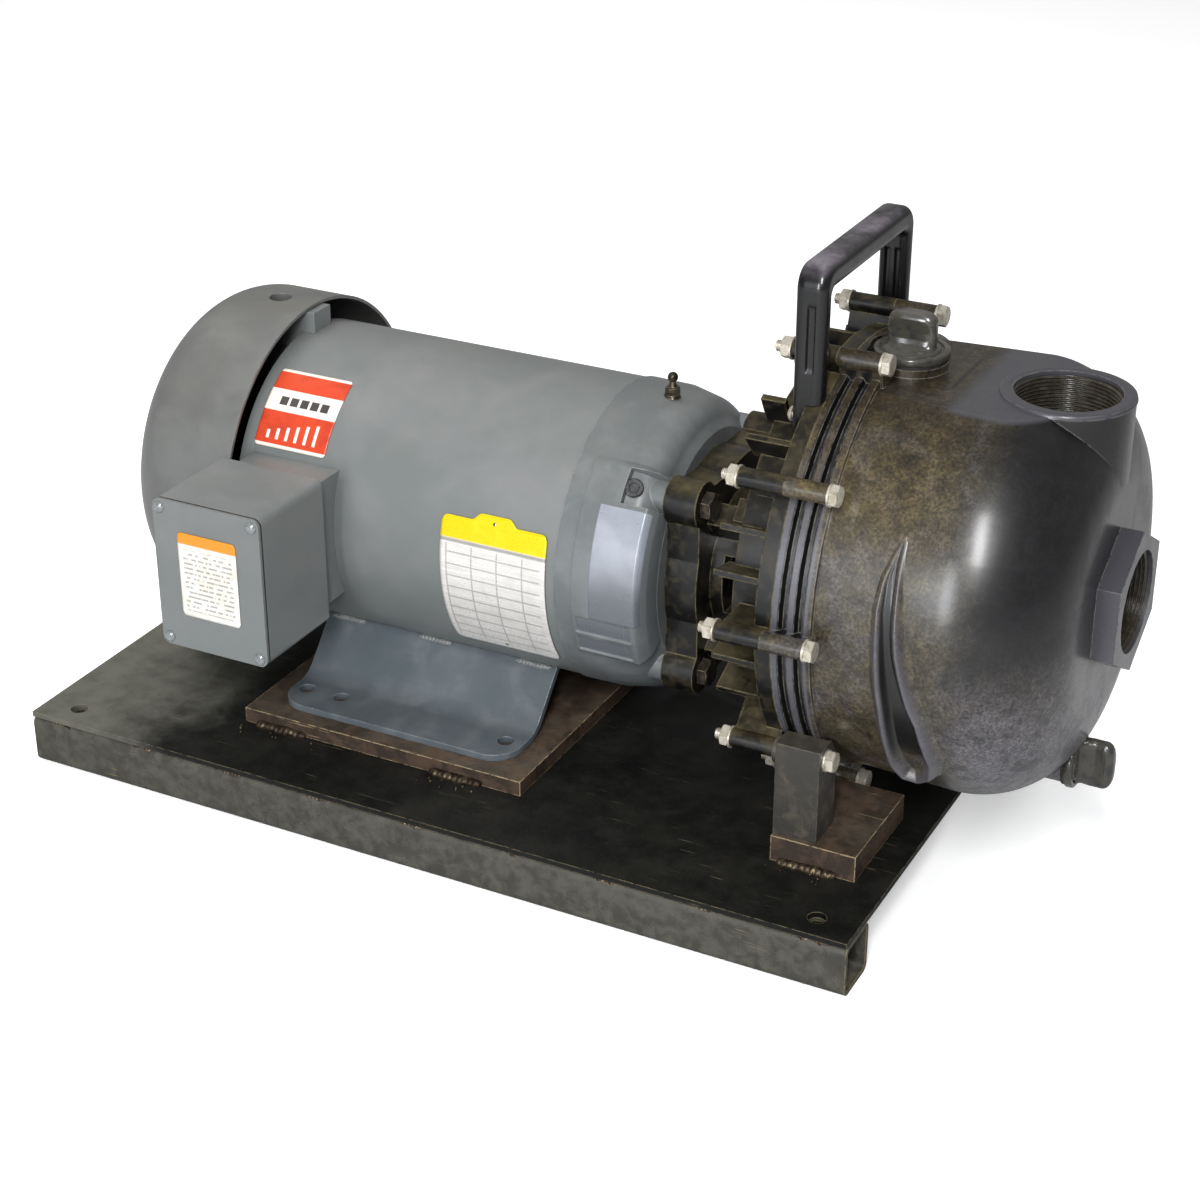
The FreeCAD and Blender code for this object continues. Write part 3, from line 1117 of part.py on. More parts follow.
def rotor():
    """Everything that turns with the shaft."""
    axis = ("0", "0", "motor_z")
    core_a, core_b = "core_start - 30", "core_end + 20"
    shaft = [("shaft_rear_end", "0"), ("vane_end", "0"), ("vane_end", "shaft_radius"),
             ("front_bearing_end + 4", "shaft_radius"), ("front_bearing_end + 4", "shaft_front_radius"),
             (core_b, "shaft_front_radius"), (core_b, "shaft_core_radius"), (core_a, "shaft_core_radius"),
             (core_a, "shaft_rear_radius"), ("rear_bearing_start - 4", "shaft_rear_radius"),
             ("rear_bearing_start - 4", "8"), ("shaft_rear_end", "8")]
    keep(turned(shaft, axis), "motor_shaft")
    keep(tube("rotor_radius", "shaft_core_radius", "core_start", "core_end", "motor_z"), "rotor_core")
    keep(group(tube("shaft_front_radius + 5", "shaft_front_radius", "front_bearing_start",
                    "front_bearing_end", "motor_z"),
               tube("shaft_rear_radius + 4.5", "shaft_rear_radius", "rear_bearing_start",
                    "rear_bearing_end", "motor_z")), "bearing_inner_rings")
    balls = []
    places = (("front_bearing_end - front_bearing_width / 2", "shaft_front_radius + 5",
               "front_bearing_radius - 4.5"),
              ("rear_bearing_end - rear_bearing_width / 2", "shaft_rear_radius + 4.5",
               "rear_bearing_radius - 4"))
    for x, inner, outer in places:
        for k in range(9):
            y, z = around("((%s) + (%s)) / 2" % (inner, outer), str(40 * k), "motor_z")
            balls.append(add("Sphere", (x, y, z), ALONG_Z,
                             Radius="((%s) - (%s)) / 2 - running_fit" % (outer, inner)))
    keep(group(*balls), "bearing_balls")

    fan_x = "shaft_rear_end + 2"
    hub = tube("fan_hub_radius", "8", fan_x, fan_x + " + fan_width", "motor_z")
    disc = tube("fan_radius - 2", "10", fan_x + " + fan_width - 3", fan_x + " + fan_width", "motor_z")
    count = int(value("fan_blade_count"))
    blades = [spoke(fan_x, fan_x + " + fan_width - 1", "fan_hub_radius - 3", "fan_radius", "2.5",
                    360 / count * k, "motor_z") for k in range(count)]
    keep(fuse(hub, disc, *blades), "cooling_fan")
    slinger_x = "adapter_end + 14"
    keep(tube("slinger_radius", "shaft_radius", slinger_x, slinger_x + " + 3", "motor_z"), "shaft_slinger")
    keep(tube("seal_radius - 3", "shaft_radius", "joint + close_gap", "impeller_back", "motor_z"),
         "seal_head")
    plate = tube("impeller_radius", "shaft_radius", "impeller_back", "impeller_back + impeller_plate",
                 "motor_z")
    nut_x = "vane_end - impeller_nut_seat"
    hub = tube("impeller_hub_radius", "shaft_radius", "impeller_back", nut_x, "motor_z")
    count = int(value("impeller_vane_count"))
    vanes = [spoke("impeller_back + 1", "vane_end", "impeller_hub_radius - 2", "impeller_radius", "3.5",
                   360 / count * k + 15, "motor_z") for k in range(count)]
    keep(fuse(plate, hub, *vanes), "impeller")
    nut = hexagon("impeller_nut_flats", "impeller_nut_height", (nut_x, "0", "motor_z"))
    bore = rod("shaft_radius", "impeller_nut_height + 4", (nut_x + " - 2", "0", "motor_z"))
    keep(cut(nut, bore), "impeller_nut")


def plugs():
    """Fill plug on top and drain plug in front, each on a flat seal ring."""
    upright = Rotation(Vector(0, 1, 0), -90)
    kinds = (("fill", ("fill_x", "0", "fill_seat"), upright),
             ("drain", ("drain_seat", "0", "drain_z"), ALONG_Z))
    for name, spot, turn in kinds:
        seal = "plug_seal_thickness"
        stem = name + "_stem_radius"
        collar = name + "_collar_radius"
        collar_end = "%s + %s_collar_thickness" % (seal, name)
        half = "%s_wing_length / 2" % name
        thick = "%s_wing_thickness" % name
        wing_end = "%s + %s_wing_height" % (collar_end, name)
        profile = [("-%s_stem_length" % name, "0"), (collar_end, "0"), (collar_end, collar),
                   (seal, collar), (seal, stem), ("-%s_stem_length" % name, stem)]
        wing_loop = [(collar_end + " - 1", "-(%s)" % half), (wing_end + " - 7", "-(%s)" % half, "7"),
                     (wing_end, "7 - (%s)" % half), (wing_end, "%s - 7" % half, "7"),
                     (wing_end + " - 7", half), (collar_end + " - 1", half)]
        body = turned(profile, spot, turn)
        shift = Placement(Vector(), turn).multVec(Vector(0, 1, 0)) * 0.5
        move = [s + (" + (%s) * %s" % (shift[i], thick) if abs(shift[i]) > 1e-6 else "")
                for i, s in enumerate(spot)]
        wing = pushed([wing_loop], thick, tuple(move), "XZ_Plane", turn)
        keep(fuse(body, wing), name + "_plug")
        outer = "%s_collar_radius - 1" % name
        ring = turned([("0", stem + " + running_fit"), (seal, stem + " + running_fit"), (seal, outer),
                       ("0", outer)], spot, turn)
        keep(ring, name + "_seal_ring")


base()
motor_feet()
motor_frame()
fan_cover()
conduit_box()
motor_plates()
bracket()
handle()
casing()
pump_legs()
tie_bolts()
pump_inside()
rotor()
plugs()
doc.recompute()

for item in doc.Objects:
    if "Invalid" in item.State or "Error" in item.State:
        raise RuntimeError("%s did not build: %s" % (item.Label, item.State))
os.makedirs("parts", exist_ok=True)
for item in kept:
    shape = item.Shape
    if shape.isNull() or not shape.isValid() or not shape.Solids:
        raise RuntimeError("%s is not a valid solid" % item.Label)
    shape.exportStep(os.path.join("parts", item.Label + ".step"))
    box = shape.BoundBox
    spans = (box.XMin, box.XMax, box.YMin, box.YMax, box.ZMin, box.ZMax)
    print("%-22s solids %2d volume %10.1f  x %7.1f %7.1f y %7.1f %7.1f z %7.1f %7.1f" % (
        (item.Label, len(shape.Solids), shape.Volume) + spans))
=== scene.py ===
import logging
import math
from dataclasses import dataclass, field
from enum import Enum

import bmesh
import bpy
import numpy as np
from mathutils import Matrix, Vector


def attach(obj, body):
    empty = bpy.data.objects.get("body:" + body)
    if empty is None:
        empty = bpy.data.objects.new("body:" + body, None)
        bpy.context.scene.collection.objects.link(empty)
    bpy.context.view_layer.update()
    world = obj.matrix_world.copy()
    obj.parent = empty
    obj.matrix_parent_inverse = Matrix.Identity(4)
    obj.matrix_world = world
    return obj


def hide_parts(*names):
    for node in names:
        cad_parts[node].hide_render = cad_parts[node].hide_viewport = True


# The looks of a self-priming transfer pump on a welded base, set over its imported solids.
# Sizes in the classes are in millimetres and degrees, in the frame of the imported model.
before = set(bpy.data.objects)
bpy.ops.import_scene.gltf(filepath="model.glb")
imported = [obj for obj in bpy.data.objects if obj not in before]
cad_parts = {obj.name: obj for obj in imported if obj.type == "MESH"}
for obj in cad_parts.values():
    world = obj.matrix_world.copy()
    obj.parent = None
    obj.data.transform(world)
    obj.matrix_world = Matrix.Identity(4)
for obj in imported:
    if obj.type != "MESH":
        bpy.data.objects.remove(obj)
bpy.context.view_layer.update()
LOG = logging.getLogger("transfer_pump")
MM = 0.001
MOTOR_Z = 155.0
PUMP_Z = 178.0

Colour = tuple[float, float, float]
Point = tuple[float, float, float]


# ---------------------------------------------------------------- surfaces

@dataclass(frozen=True)
class Place:
    """A local frame: an origin, a direction along it and one to its side."""

    origin: Point = (0.0, 0.0, 0.0)
    along: Point = (1.0, 0.0, 0.0)
    side: Point = (0.0, 1.0, 0.0)

    def points(self, h: np.ndarray, s: np.ndarray, t: np.ndarray) -> np.ndarray:
        """Turn local lengths into points.

        Args:
            h: Lengths along the frame.
            s: Lengths to its side.
            t: Lengths along the cross product of both.

        Returns:
            Points, one row of three numbers for each entry.
        """
        a, b = np.array(self.along, float), np.array(self.side, float)
        c = np.cross(a, b)
        h, s, t = np.broadcast_arrays(h, s, t)
        return np.array(self.origin, float) + h[..., None] * a + s[..., None] * b + t[..., None] * c


@dataclass
class Surface:
    """A grid of points in rows and columns, which may close on itself either way."""

    points: np.ndarray
    ring_rows: bool = False
    ring_cols: bool = False

    def faces(self, start: int) -> np.ndarray:
        """Corner numbers of the grid's four-sided faces.

        Args:
            start: Number of the grid's first point in the whole mesh.

        Returns:
            An array with four corner numbers a row.
        """
        rows, cols = self.points.shape[:2]
        r, c = np.meshgrid(np.arange(rows if self.ring_rows else rows - 1),
                           np.arange(cols if self.ring_cols else cols - 1), indexing="ij")
        r2, c2 = (r + 1) % rows, (c + 1) % cols
        corners = np.stack([r * cols + c, r * cols + c2, r2 * cols + c2, r2 * cols + c], -1)
        return start + corners.reshape(-1, 4)


def smoothstep(x: np.ndarray, low: float, high: float) -> np.ndarray:
    """Rise from 0 at low to 1 at high, by the cubic 3 t^2 - 2 t^3.

    Args:
        x: Values to map.
        low: Value that gives 0.
        high: Value that gives 1.

    Returns:
        The mapped values.
    """
    t = np.clip((x - low) / (high - low), 0, 1)
    return t * t * (3 - 2 * t)


def lathe(place: Place, heights: list[float], radii: np.ndarray | list[float],
          steps: int = 48) -> Surface:
    """A profile of heights and radii carried round the frame's axis.

    A point is origin + h along + r (cos a side + sin a up), with a going once round.

    Args:
        place: Frame whose first direction is the axis.
        heights: Height of each row.
        radii: Radius of each row, or rows by steps where it changes round the axis.
        steps: Columns round the axis.

    Returns:
        The surface, closed round the axis.
    """
    a = np.linspace(0, 2 * np.pi, steps, endpoint=False)
    r = np.array(radii, float)
    r = r[:, None] + 0 * a if r.ndim == 1 else r
    h = np.array(heights, float)[:, None] + 0 * a
    return Surface(place.points(h, r * np.cos(a), r * np.sin(a)), ring_cols=True)


def hexagon_radius(flats: float, steps: int) -> np.ndarray:
    """Radius of a hexagon round its axis: half the flats over the cosine from the nearest flat.

    Args:
        flats: Width across flats.
        steps: Number of directions round the axis.

    Returns:
        One radius for each direction.
    """
    a = np.linspace(0, 360, steps, endpoint=False)
    return flats / 2 / np.cos(np.radians((a + 30) % 60 - 30))


def hex_block(place: Place, start: float, end: float, flats: float, steps: int = 48,
              both: bool = False, hole: float = 0.0) -> Surface:
    """A hexagonal head whose corners a cone takes off.

    The radius is the smaller of the hexagon's and the cone's, which grows 1.8 times as fast
    as the depth below the end.

    Args:
        place: Frame whose first direction is the bolt's.
        start: Height of the near end.
        end: Height of the far end.
        flats: Width across flats.
        steps: Columns round the axis, a multiple of 12.
        both: Whether the cone takes off both ends.
        hole: Radius of a hole through it.

    Returns:
        The closed surface.
    """
    deep = min(1.3, (end - start) / 2.5)
    depth = np.array([deep, deep * 0.7, deep * 0.45, deep * 0.25, deep * 0.1, 0.0])
    heights, cones = list(end - depth), list(flats * 0.475 + 1.8 * depth)
    if both:
        heights = list(start + depth[::-1]) + heights
        cones = list(flats * 0.475 + 1.8 * depth[::-1]) + cones
    else:
        heights, cones = [start] + heights, [1e3] + cones
    radii = np.minimum(hexagon_radius(flats, steps)[None, :], np.array(cones)[:, None])
    heights = [start] + heights + [end]
    radii = np.vstack([np.full(steps, hole), radii, np.full(steps, hole)])
    surface = lathe(place, heights, radii, steps)
    surface.ring_rows = hole > 0
    return surface


def bead(start: Point, end: Point, radius: float, pitch: float, seed: int,
         flat: float = 1.0) -> Surface:
    """A weld bead: a tube along a line whose radius ripples and closes at both ends.

    The radius is r sqrt(1 - (2 s - 1)^8) times 0.86 + 0.14 |sin(pi L s / pitch)|, and each
    ripple bows forward by a third of the pitch.

    Args:
        start: First end.
        end: Last end.
        radius: Radius of the tube.
        pitch: Length of one ripple.
        seed: Seed of the small unevenness.
        flat: Share of the height kept, for a flatter bead.

    Returns:
        The closed surface.
    """
    rng = np.random.default_rng(seed)
    first, last = np.array(start, float), np.array(end, float)
    length = float(np.linalg.norm(last - first))
    rows = max(12, int(length / pitch * 6))
    s = np.linspace(0, 1, rows)
    a = np.linspace(0, 2 * np.pi, 14, endpoint=False)
    ripple = 0.86 + 0.14 * np.abs(np.sin(np.pi * length * s / pitch))
    wander = np.interp(s, np.linspace(0, 1, 9), rng.uniform(0.85, 1.1, 9))
    r = radius * np.sqrt(np.clip(1 - (2 * s - 1) ** 8, 0, 1)) * ripple * wander
    drift = np.interp(s, np.linspace(0, 1, 7), rng.uniform(-0.12, 0.12, 7)) * radius
    along = (last - first) / length
    side = np.cross((0, 0, 1.0), along)
    up = np.cross(along, side)
    centre = first + s[:, None] * (last - first) + drift[:, None] * side
    points = (centre[:, None] + (r[:, None] * np.cos(a))[..., None] * side
              + (flat * r[:, None] * np.sin(a))[..., None] * up
              + (pitch * 0.3 * np.sin(a) * (r[:, None] > 0))[..., None] * along * 0.5)
    points[0] = first
    points[-1] = last
    return Surface(points, ring_cols=True)


class Smoothing(Enum):
    """How a new piece's faces are shaded."""

    ROUND = 60.0
    CRISP = 28.0


def make_piece(name: str, surfaces: list[Surface], finish: str, body: str = "frame",
               smoothing: Smoothing = Smoothing.CRISP,
               closed: bool = True, uv: np.ndarray | None = None,
               wall: float = 0.0, replaces: tuple[str, ...] = ()) -> bpy.types.Object:
    """Put surfaces into one mesh object that rides on a body.

    Args:
        name: Name of the piece.
        surfaces: Its surfaces, in millimetres.
        finish: Name of the material.
        body: Body that it rides on.
        smoothing: Angle above which an edge stays sharp.
        closed: Whether doubles are merged and normals pointed outwards.
        uv: Coordinates for each point, for a single surface that isn't merged.
        wall: Thickness given to an open sheet, inwards from its face.
        replaces: CAD nodes that the piece stands for.

    Returns:
        The object.
    """
    vertices, faces, start = [], [], 0
    for surface in surfaces:
        vertices.append(surface.points.reshape(-1, 3))
        faces.append(surface.faces(start))
        start += len(vertices[-1])
    corners = np.vstack(faces)
    mesh = bpy.data.meshes.new(name)
    mesh.from_pydata((np.vstack(vertices) * MM).tolist(), [], corners.tolist())
    if uv is not None:
        layer = mesh.uv_layers.new(name="Sheet")
        order = np.zeros(len(mesh.loops), np.int32)
        mesh.loops.foreach_get("vertex_index", order)
        layer.data.foreach_set("uv", uv.reshape(-1, 2)[order].astype(np.float32).ravel())
    if closed:
        work = bmesh.new()
        work.from_mesh(mesh)
        bmesh.ops.remove_doubles(work, verts=work.verts, dist=2e-6)
        bmesh.ops.dissolve_degenerate(work, edges=work.edges, dist=1e-6)
        bmesh.ops.recalc_face_normals(work, faces=work.faces)
        work.to_mesh(mesh)
        work.free()
    mesh.polygons.foreach_set("use_smooth", np.ones(len(mesh.polygons), bool))
    mesh.set_sharp_from_angle(angle=math.radians(smoothing.value))
    mesh.materials.append(Finish.made[finish])
    item = bpy.data.objects.new(name, mesh)
    bpy.context.scene.collection.objects.link(item)
    if wall:
        skin = item.modifiers.new("Wall", "SOLIDIFY")
        skin.thickness, skin.offset = wall * MM, -1
    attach(item, body)
    if replaces:
        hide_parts(*replaces)
    LOG.info("%s: %d faces", name, len(mesh.polygons))
    return item


# ---------------------------------------------------------------- node trees

def linear(colour: Colour) -> tuple[float, float, float, float]:
    """Screen colour, 0 to 255 a channel, as the linear colour that shaders take.

    Args:
        colour: The screen colour.

    Returns:
        Red, green, blue and an alpha of 1.
    """
    c = np.array(colour, float) / 255
    lin = np.where(c <= 0.04045, c / 12.92, ((c + 0.055) / 1.055) ** 2.4)
    return (float(lin[0]), float(lin[1]), float(lin[2]), 1.0)


class Graph:
    """A node tree that is being filled, with short calls for the nodes in use."""

    def __init__(self, tree: bpy.types.NodeTree) -> None:
        """Start from an empty tree.

        Args:
            tree: The tree to fill.
        """
        self.tree = tree
        tree.nodes.clear()

    def add(self, kind: str, **settings: object) -> bpy.types.Node:
        """Add a node and set its properties.

        Args:
            kind: Type of the node.
            **settings: Property values by name.

        Returns:
            The node.
        """
        node = self.tree.nodes.new(kind)
        for name, setting in settings.items():
            setattr(node, name, setting)
        return node

    def feed(self, node: bpy.types.Node, socket: int | str, value: object) -> None:
        """Link a socket to an input, or set the input's own value.

        Args:
            node: Node that has the input.
            socket: Number or name of the input.
            value: A socket, a plain value, or None to leave the input as it is.
        """
        if isinstance(value, bpy.types.NodeSocket):
            self.tree.links.new(value, node.inputs[socket])
        elif value is not None:
            node.inputs[socket].default_value = value

    def math(self, operation: str, a: object, b: object = None) -> bpy.types.NodeSocket:
        """One step of arithmetic.

        Args:
            operation: Name of the operation.
            a: First value or socket.
            b: Second one, where the operation takes two.

        Returns:
            The result's socket.
        """
        node = self.add("ShaderNodeMath", operation=operation)
        self.feed(node, 0, a)
        self.feed(node, 1, b)
        return node.outputs[0]

    def mix(self, share: object, a: object, b: object, blend: str = "MIX") -> bpy.types.NodeSocket:
        """Mix two colours.

        Args:
            share: Share of the second colour.
            a: First colour or socket.
            b: Second colour or socket.
            blend: How the second goes over the first.

        Returns:
            The mixed colour's socket.
        """
        node = self.add("ShaderNodeMix", data_type="RGBA", blend_type=blend)
        for socket, value in ((0, share), (6, a), (7, b)):
            self.feed(node, socket, value)
        return node.outputs[2]

    def step(self, value: object, low: object, high: object, out_low: float = 0.0,
             out_high: float = 1.0) -> bpy.types.NodeSocket:
        """Map a value smoothly between two limits.

        Args:
            value: Value or socket.
            low: Value that gives out_low.
            high: Value that gives out_high.
            out_low: Result at the low limit.
            out_high: Result at the high limit.

        Returns:
            The mapped value's socket.
        """
        node = self.add("ShaderNodeMapRange", interpolation_type="SMOOTHSTEP")
        for socket, item in enumerate((value, low, high, out_low, out_high)):
            self.feed(node, socket, item)
        return node.outputs[0]

    def noise(self, vector: object, scale: object, detail: float = 3.0,
              rough: float = 0.55, twist: float = 0.0) -> bpy.types.NodeSocket:
        """Fractal noise from 0 to 1.

        Args:
            vector: Coordinates.
            scale: Features per metre.
            detail: Number of finer layers.
            rough: Strength of the finer layers.
            twist: Distortion.

        Returns:
            The noise's socket.
        """
        node = self.add("ShaderNodeTexNoise")
        for socket, value in (("Vector", vector), ("Scale", scale), ("Detail", detail),
                              ("Roughness", rough), ("Distortion", twist)):
            self.feed(node, socket, value)
        return node.outputs[0]

    def cells(self, vector: object, scale: object, feature: str = "F1") -> bpy.types.NodeSocket:
        """Distance within a pattern of random cells.

        Args:
            vector: Coordinates.
            scale: Cells per metre.
            feature: Which distance is measured.

        Returns:
            The distance's socket.
        """
        node = self.add("ShaderNodeTexVoronoi", feature=feature)
        self.feed(node, "Vector", vector)
        self.feed(node, "Scale", scale)
        return node.outputs["Distance"]

    def split(self, vector: object) -> tuple[bpy.types.NodeSocket, ...]:
        """Take a vector apart.

        Args:
            vector: The vector's socket.

        Returns:
            Its three parts.
        """
        node = self.add("ShaderNodeSeparateXYZ")
        self.feed(node, 0, vector)
        return tuple(node.outputs)

    def stretch(self, vector: object, scale: Point) -> bpy.types.NodeSocket:
        """Scale a pattern's coordinates.

        Args:
            vector: Coordinates.
            scale: Factor along each axis.

        Returns:
            The scaled coordinates.
        """
        node = self.add("ShaderNodeMapping")
        self.feed(node, 0, vector)
        node.inputs["Scale"].default_value = scale
        return node.outputs[0]

    def bump(self, height: object, depth_mm: float, normal: object = None,
             strength: float = 1.0) -> bpy.types.NodeSocket:
        """Tilt the normal by a height pattern.

        Args:
            height: The pattern, from 0 to 1.
            depth_mm: Depth of a height of 1.
            normal: Normal to start from.
            strength: Share of the effect.

        Returns:
            The new normal.
        """
        node = self.add("ShaderNodeBump")
        node.inputs["Strength"].default_value = strength
        node.inputs["Distance"].default_value = depth_mm * MM
        self.feed(node, "Height", height)
        self.feed(node, "Normal", normal)
        return node.outputs[0]

    def use(self, effect: "Effect", **values: object) -> bpy.types.NodeSocket:
        """Place a shared effect with its own values.

        Args:
            effect: The effect.
            **values: Values of its inputs by name.

        Returns:
            The effect's only output.
        """
        node = self.add("ShaderNodeGroup", node_tree=effect.tree())
        for name, value in values.items():
            self.feed(node, name.replace("_", " "), value)
        return node.outputs[0]


class Effect(Enum):
    """Shader effects that several finishes share, each one node group built once."""

    PATCHES = "Patches"
    SPECKS = "Specks"
    GRAIN = "Grain"
    EDGES = "Worn edges"
    ROUNDED = "Rounded edges"
    DUST = "Settled dust"
    SCRATCHES = "Scratches"

    def tree(self) -> bpy.types.NodeTree:
        """The group's node tree, made when it is first asked for.

        Returns:
            The tree.
        """
        name = self.value
        found = bpy.data.node_groups.get(name)
        if found:
            return found
        tree = bpy.data.node_groups.new(name, "ShaderNodeTree")
        output, sockets, fill = EFFECTS[self]
        graph = Graph(tree)
        for label, kind, default in sockets:
            item = tree.interface.new_socket(label, in_out="INPUT", socket_type=kind)
            if default is not None:
                item.default_value = default
        tree.interface.new_socket(output[0], in_out="OUTPUT", socket_type=output[1])
        given = graph.add("NodeGroupInput")
        result = fill(graph, given.outputs)
        ends = graph.add("NodeGroupOutput")
        graph.feed(ends, 0, result)
        return tree


def per_metre(graph: Graph, size_mm: object) -> bpy.types.NodeSocket:
    """Scale of a pattern whose features have a size in millimetres.

    Args:
        graph: Tree that is being filled.
        size_mm: Size, or its socket.

    Returns:
        The scale, per metre.
    """
    return graph.math("DIVIDE", 1000.0, size_mm)


def fill_patches(graph: Graph, given: object) -> bpy.types.NodeSocket:
    """Cloudy patches: twisted noise cut between two levels.

    Args:
        graph: The group's tree.
        given: The group's inputs by name.

    Returns:
        The effect's result.
    """
    cloud = graph.noise(given["Vector"], per_metre(graph, given["Size"]), 5.0, 0.6, 0.4)
    return graph.step(cloud, given["Low"], given["High"])


def fill_specks(graph: Graph, given: object) -> bpy.types.NodeSocket:
    """Small round specks where the distance to a random cell's middle is short.

    Args:
        graph: The group's tree.
        given: The group's inputs by name.

    Returns:
        The effect's result.
    """
    far = graph.cells(given["Vector"], per_metre(graph, given["Size"]))
    gate = graph.noise(given["Vector"], graph.math("DIVIDE", 260.0, given["Size"]), 2.0)
    spot = graph.step(far, given["Share"], 0.0)
    return graph.math("MULTIPLY", spot, graph.step(gate, 0.48, 0.6))


def fill_grain(graph: Graph, given: object) -> bpy.types.NodeSocket:
    """Height of a fine moulded or cast grain with a slower waviness under it.

    Args:
        graph: The group's tree.
        given: The group's inputs by name.

    Returns:
        The effect's result.
    """
    fine = graph.noise(given["Vector"], per_metre(graph, given["Size"]), 3.0, 0.65)
    slow = graph.noise(given["Vector"], graph.math("DIVIDE", 90.0, given["Size"]), 2.0)
    return graph.math("ADD", fine, graph.math("MULTIPLY", slow, given["Wave"]))


def fill_edges(graph: Graph, given: object) -> bpy.types.NodeSocket:
    """Mask of worn edges: how far a rounded normal leans from the real one, broken by noise.

    Args:
        graph: The group's tree.
        given: The group's inputs by name.

    Returns:
        The effect's result.
    """
    soft = graph.add("ShaderNodeBevel", samples=4)
    graph.feed(soft, "Radius", graph.math("MULTIPLY", given["Width"], MM))
    real = graph.add("ShaderNodeNewGeometry")
    dot = graph.add("ShaderNodeVectorMath", operation="DOT_PRODUCT")
    graph.feed(dot, 0, soft.outputs[0])
    graph.feed(dot, 1, real.outputs["Normal"])
    lean = graph.step(dot.outputs["Value"], 0.995, 0.86)
    coords = graph.add("ShaderNodeTexCoord")
    rub = graph.step(graph.noise(coords.outputs["Object"], 190.0, 4.0, 0.7), 0.36, 0.56)
    return graph.math("MULTIPLY", graph.math("MULTIPLY", lean, rub), given["Amount"])


def fill_rounded(graph: Graph, given: object) -> bpy.types.NodeSocket:
    """Normal that runs round an edge as a small radius would.

    Args:
        graph: The group's tree.
        given: The group's inputs by name.

    Returns:
        The effect's result.
    """
    soft = graph.add("ShaderNodeBevel", samples=6)
    graph.feed(soft, "Radius", graph.math("MULTIPLY", given["Width"], MM))
    return soft.outputs[0]


def fill_dust(graph: Graph, given: object) -> bpy.types.NodeSocket:
    """Mask of dust that settles on faces that look up.

    Args:
        graph: The group's tree.
        given: The group's inputs by name.

    Returns:
        The effect's result.
    """
    real = graph.add("ShaderNodeNewGeometry")
    up = graph.step(graph.split(real.outputs["Normal"])[2], 0.35, 1.0)
    cloud = graph.step(graph.noise(given["Vector"], 38.0, 6.0, 0.7), 0.3, 0.75)
    return graph.math("MULTIPLY", graph.math("MULTIPLY", up, cloud), given["Amount"])


def fill_scratches(graph: Graph, given: object) -> bpy.types.NodeSocket:
    """Thin marks: noise stretched thirty times along one axis and cut high.

    Args:
        graph: The group's tree.
        given: The group's inputs by name.

    Returns:
        The effect's result.
    """
    long = graph.stretch(given["Vector"], (30.0, 900.0, 900.0))
    line = graph.step(graph.noise(long, 1.0, 2.0, 0.5), 0.66, 0.74)
    gate = graph.step(graph.noise(given["Vector"], 26.0, 2.0), 0.5, 0.62)
    return graph.math("MULTIPLY", graph.math("MULTIPLY", line, gate), given["Amount"])


VECTOR_IN = ("Vector", "NodeSocketVector", None)
EFFECTS = {
    Effect.PATCHES: (("Mask", "NodeSocketFloat"),
                     [VECTOR_IN, ("Size", "NodeSocketFloat", 30.0), ("Low", "NodeSocketFloat", 0.45),
                      ("High", "NodeSocketFloat", 0.65)], fill_patches),
    Effect.SPECKS: (("Mask", "NodeSocketFloat"),
                    [VECTOR_IN, ("Size", "NodeSocketFloat", 3.0), ("Share", "NodeSocketFloat", 0.2)],
                    fill_specks),
    Effect.GRAIN: (("Height", "NodeSocketFloat"),
                   [VECTOR_IN, ("Size", "NodeSocketFloat", 0.8), ("Wave", "NodeSocketFloat", 1.0)],
                   fill_grain),
    Effect.EDGES: (("Mask", "NodeSocketFloat"),
                   [("Width", "NodeSocketFloat", 0.8), ("Amount", "NodeSocketFloat", 1.0)],
                   fill_edges),
    Effect.ROUNDED: (("Normal", "NodeSocketVector"), [("Width", "NodeSocketFloat", 0.6)],
                     fill_rounded),
    Effect.DUST: (("Mask", "NodeSocketFloat"), [VECTOR_IN, ("Amount", "NodeSocketFloat", 0.3)],
                  fill_dust),
    Effect.SCRATCHES: (("Mask", "NodeSocketFloat"),
                       [VECTOR_IN, ("Amount", "NodeSocketFloat", 0.5)], fill_scratches),
}


# ---------------------------------------------------------------- finishes

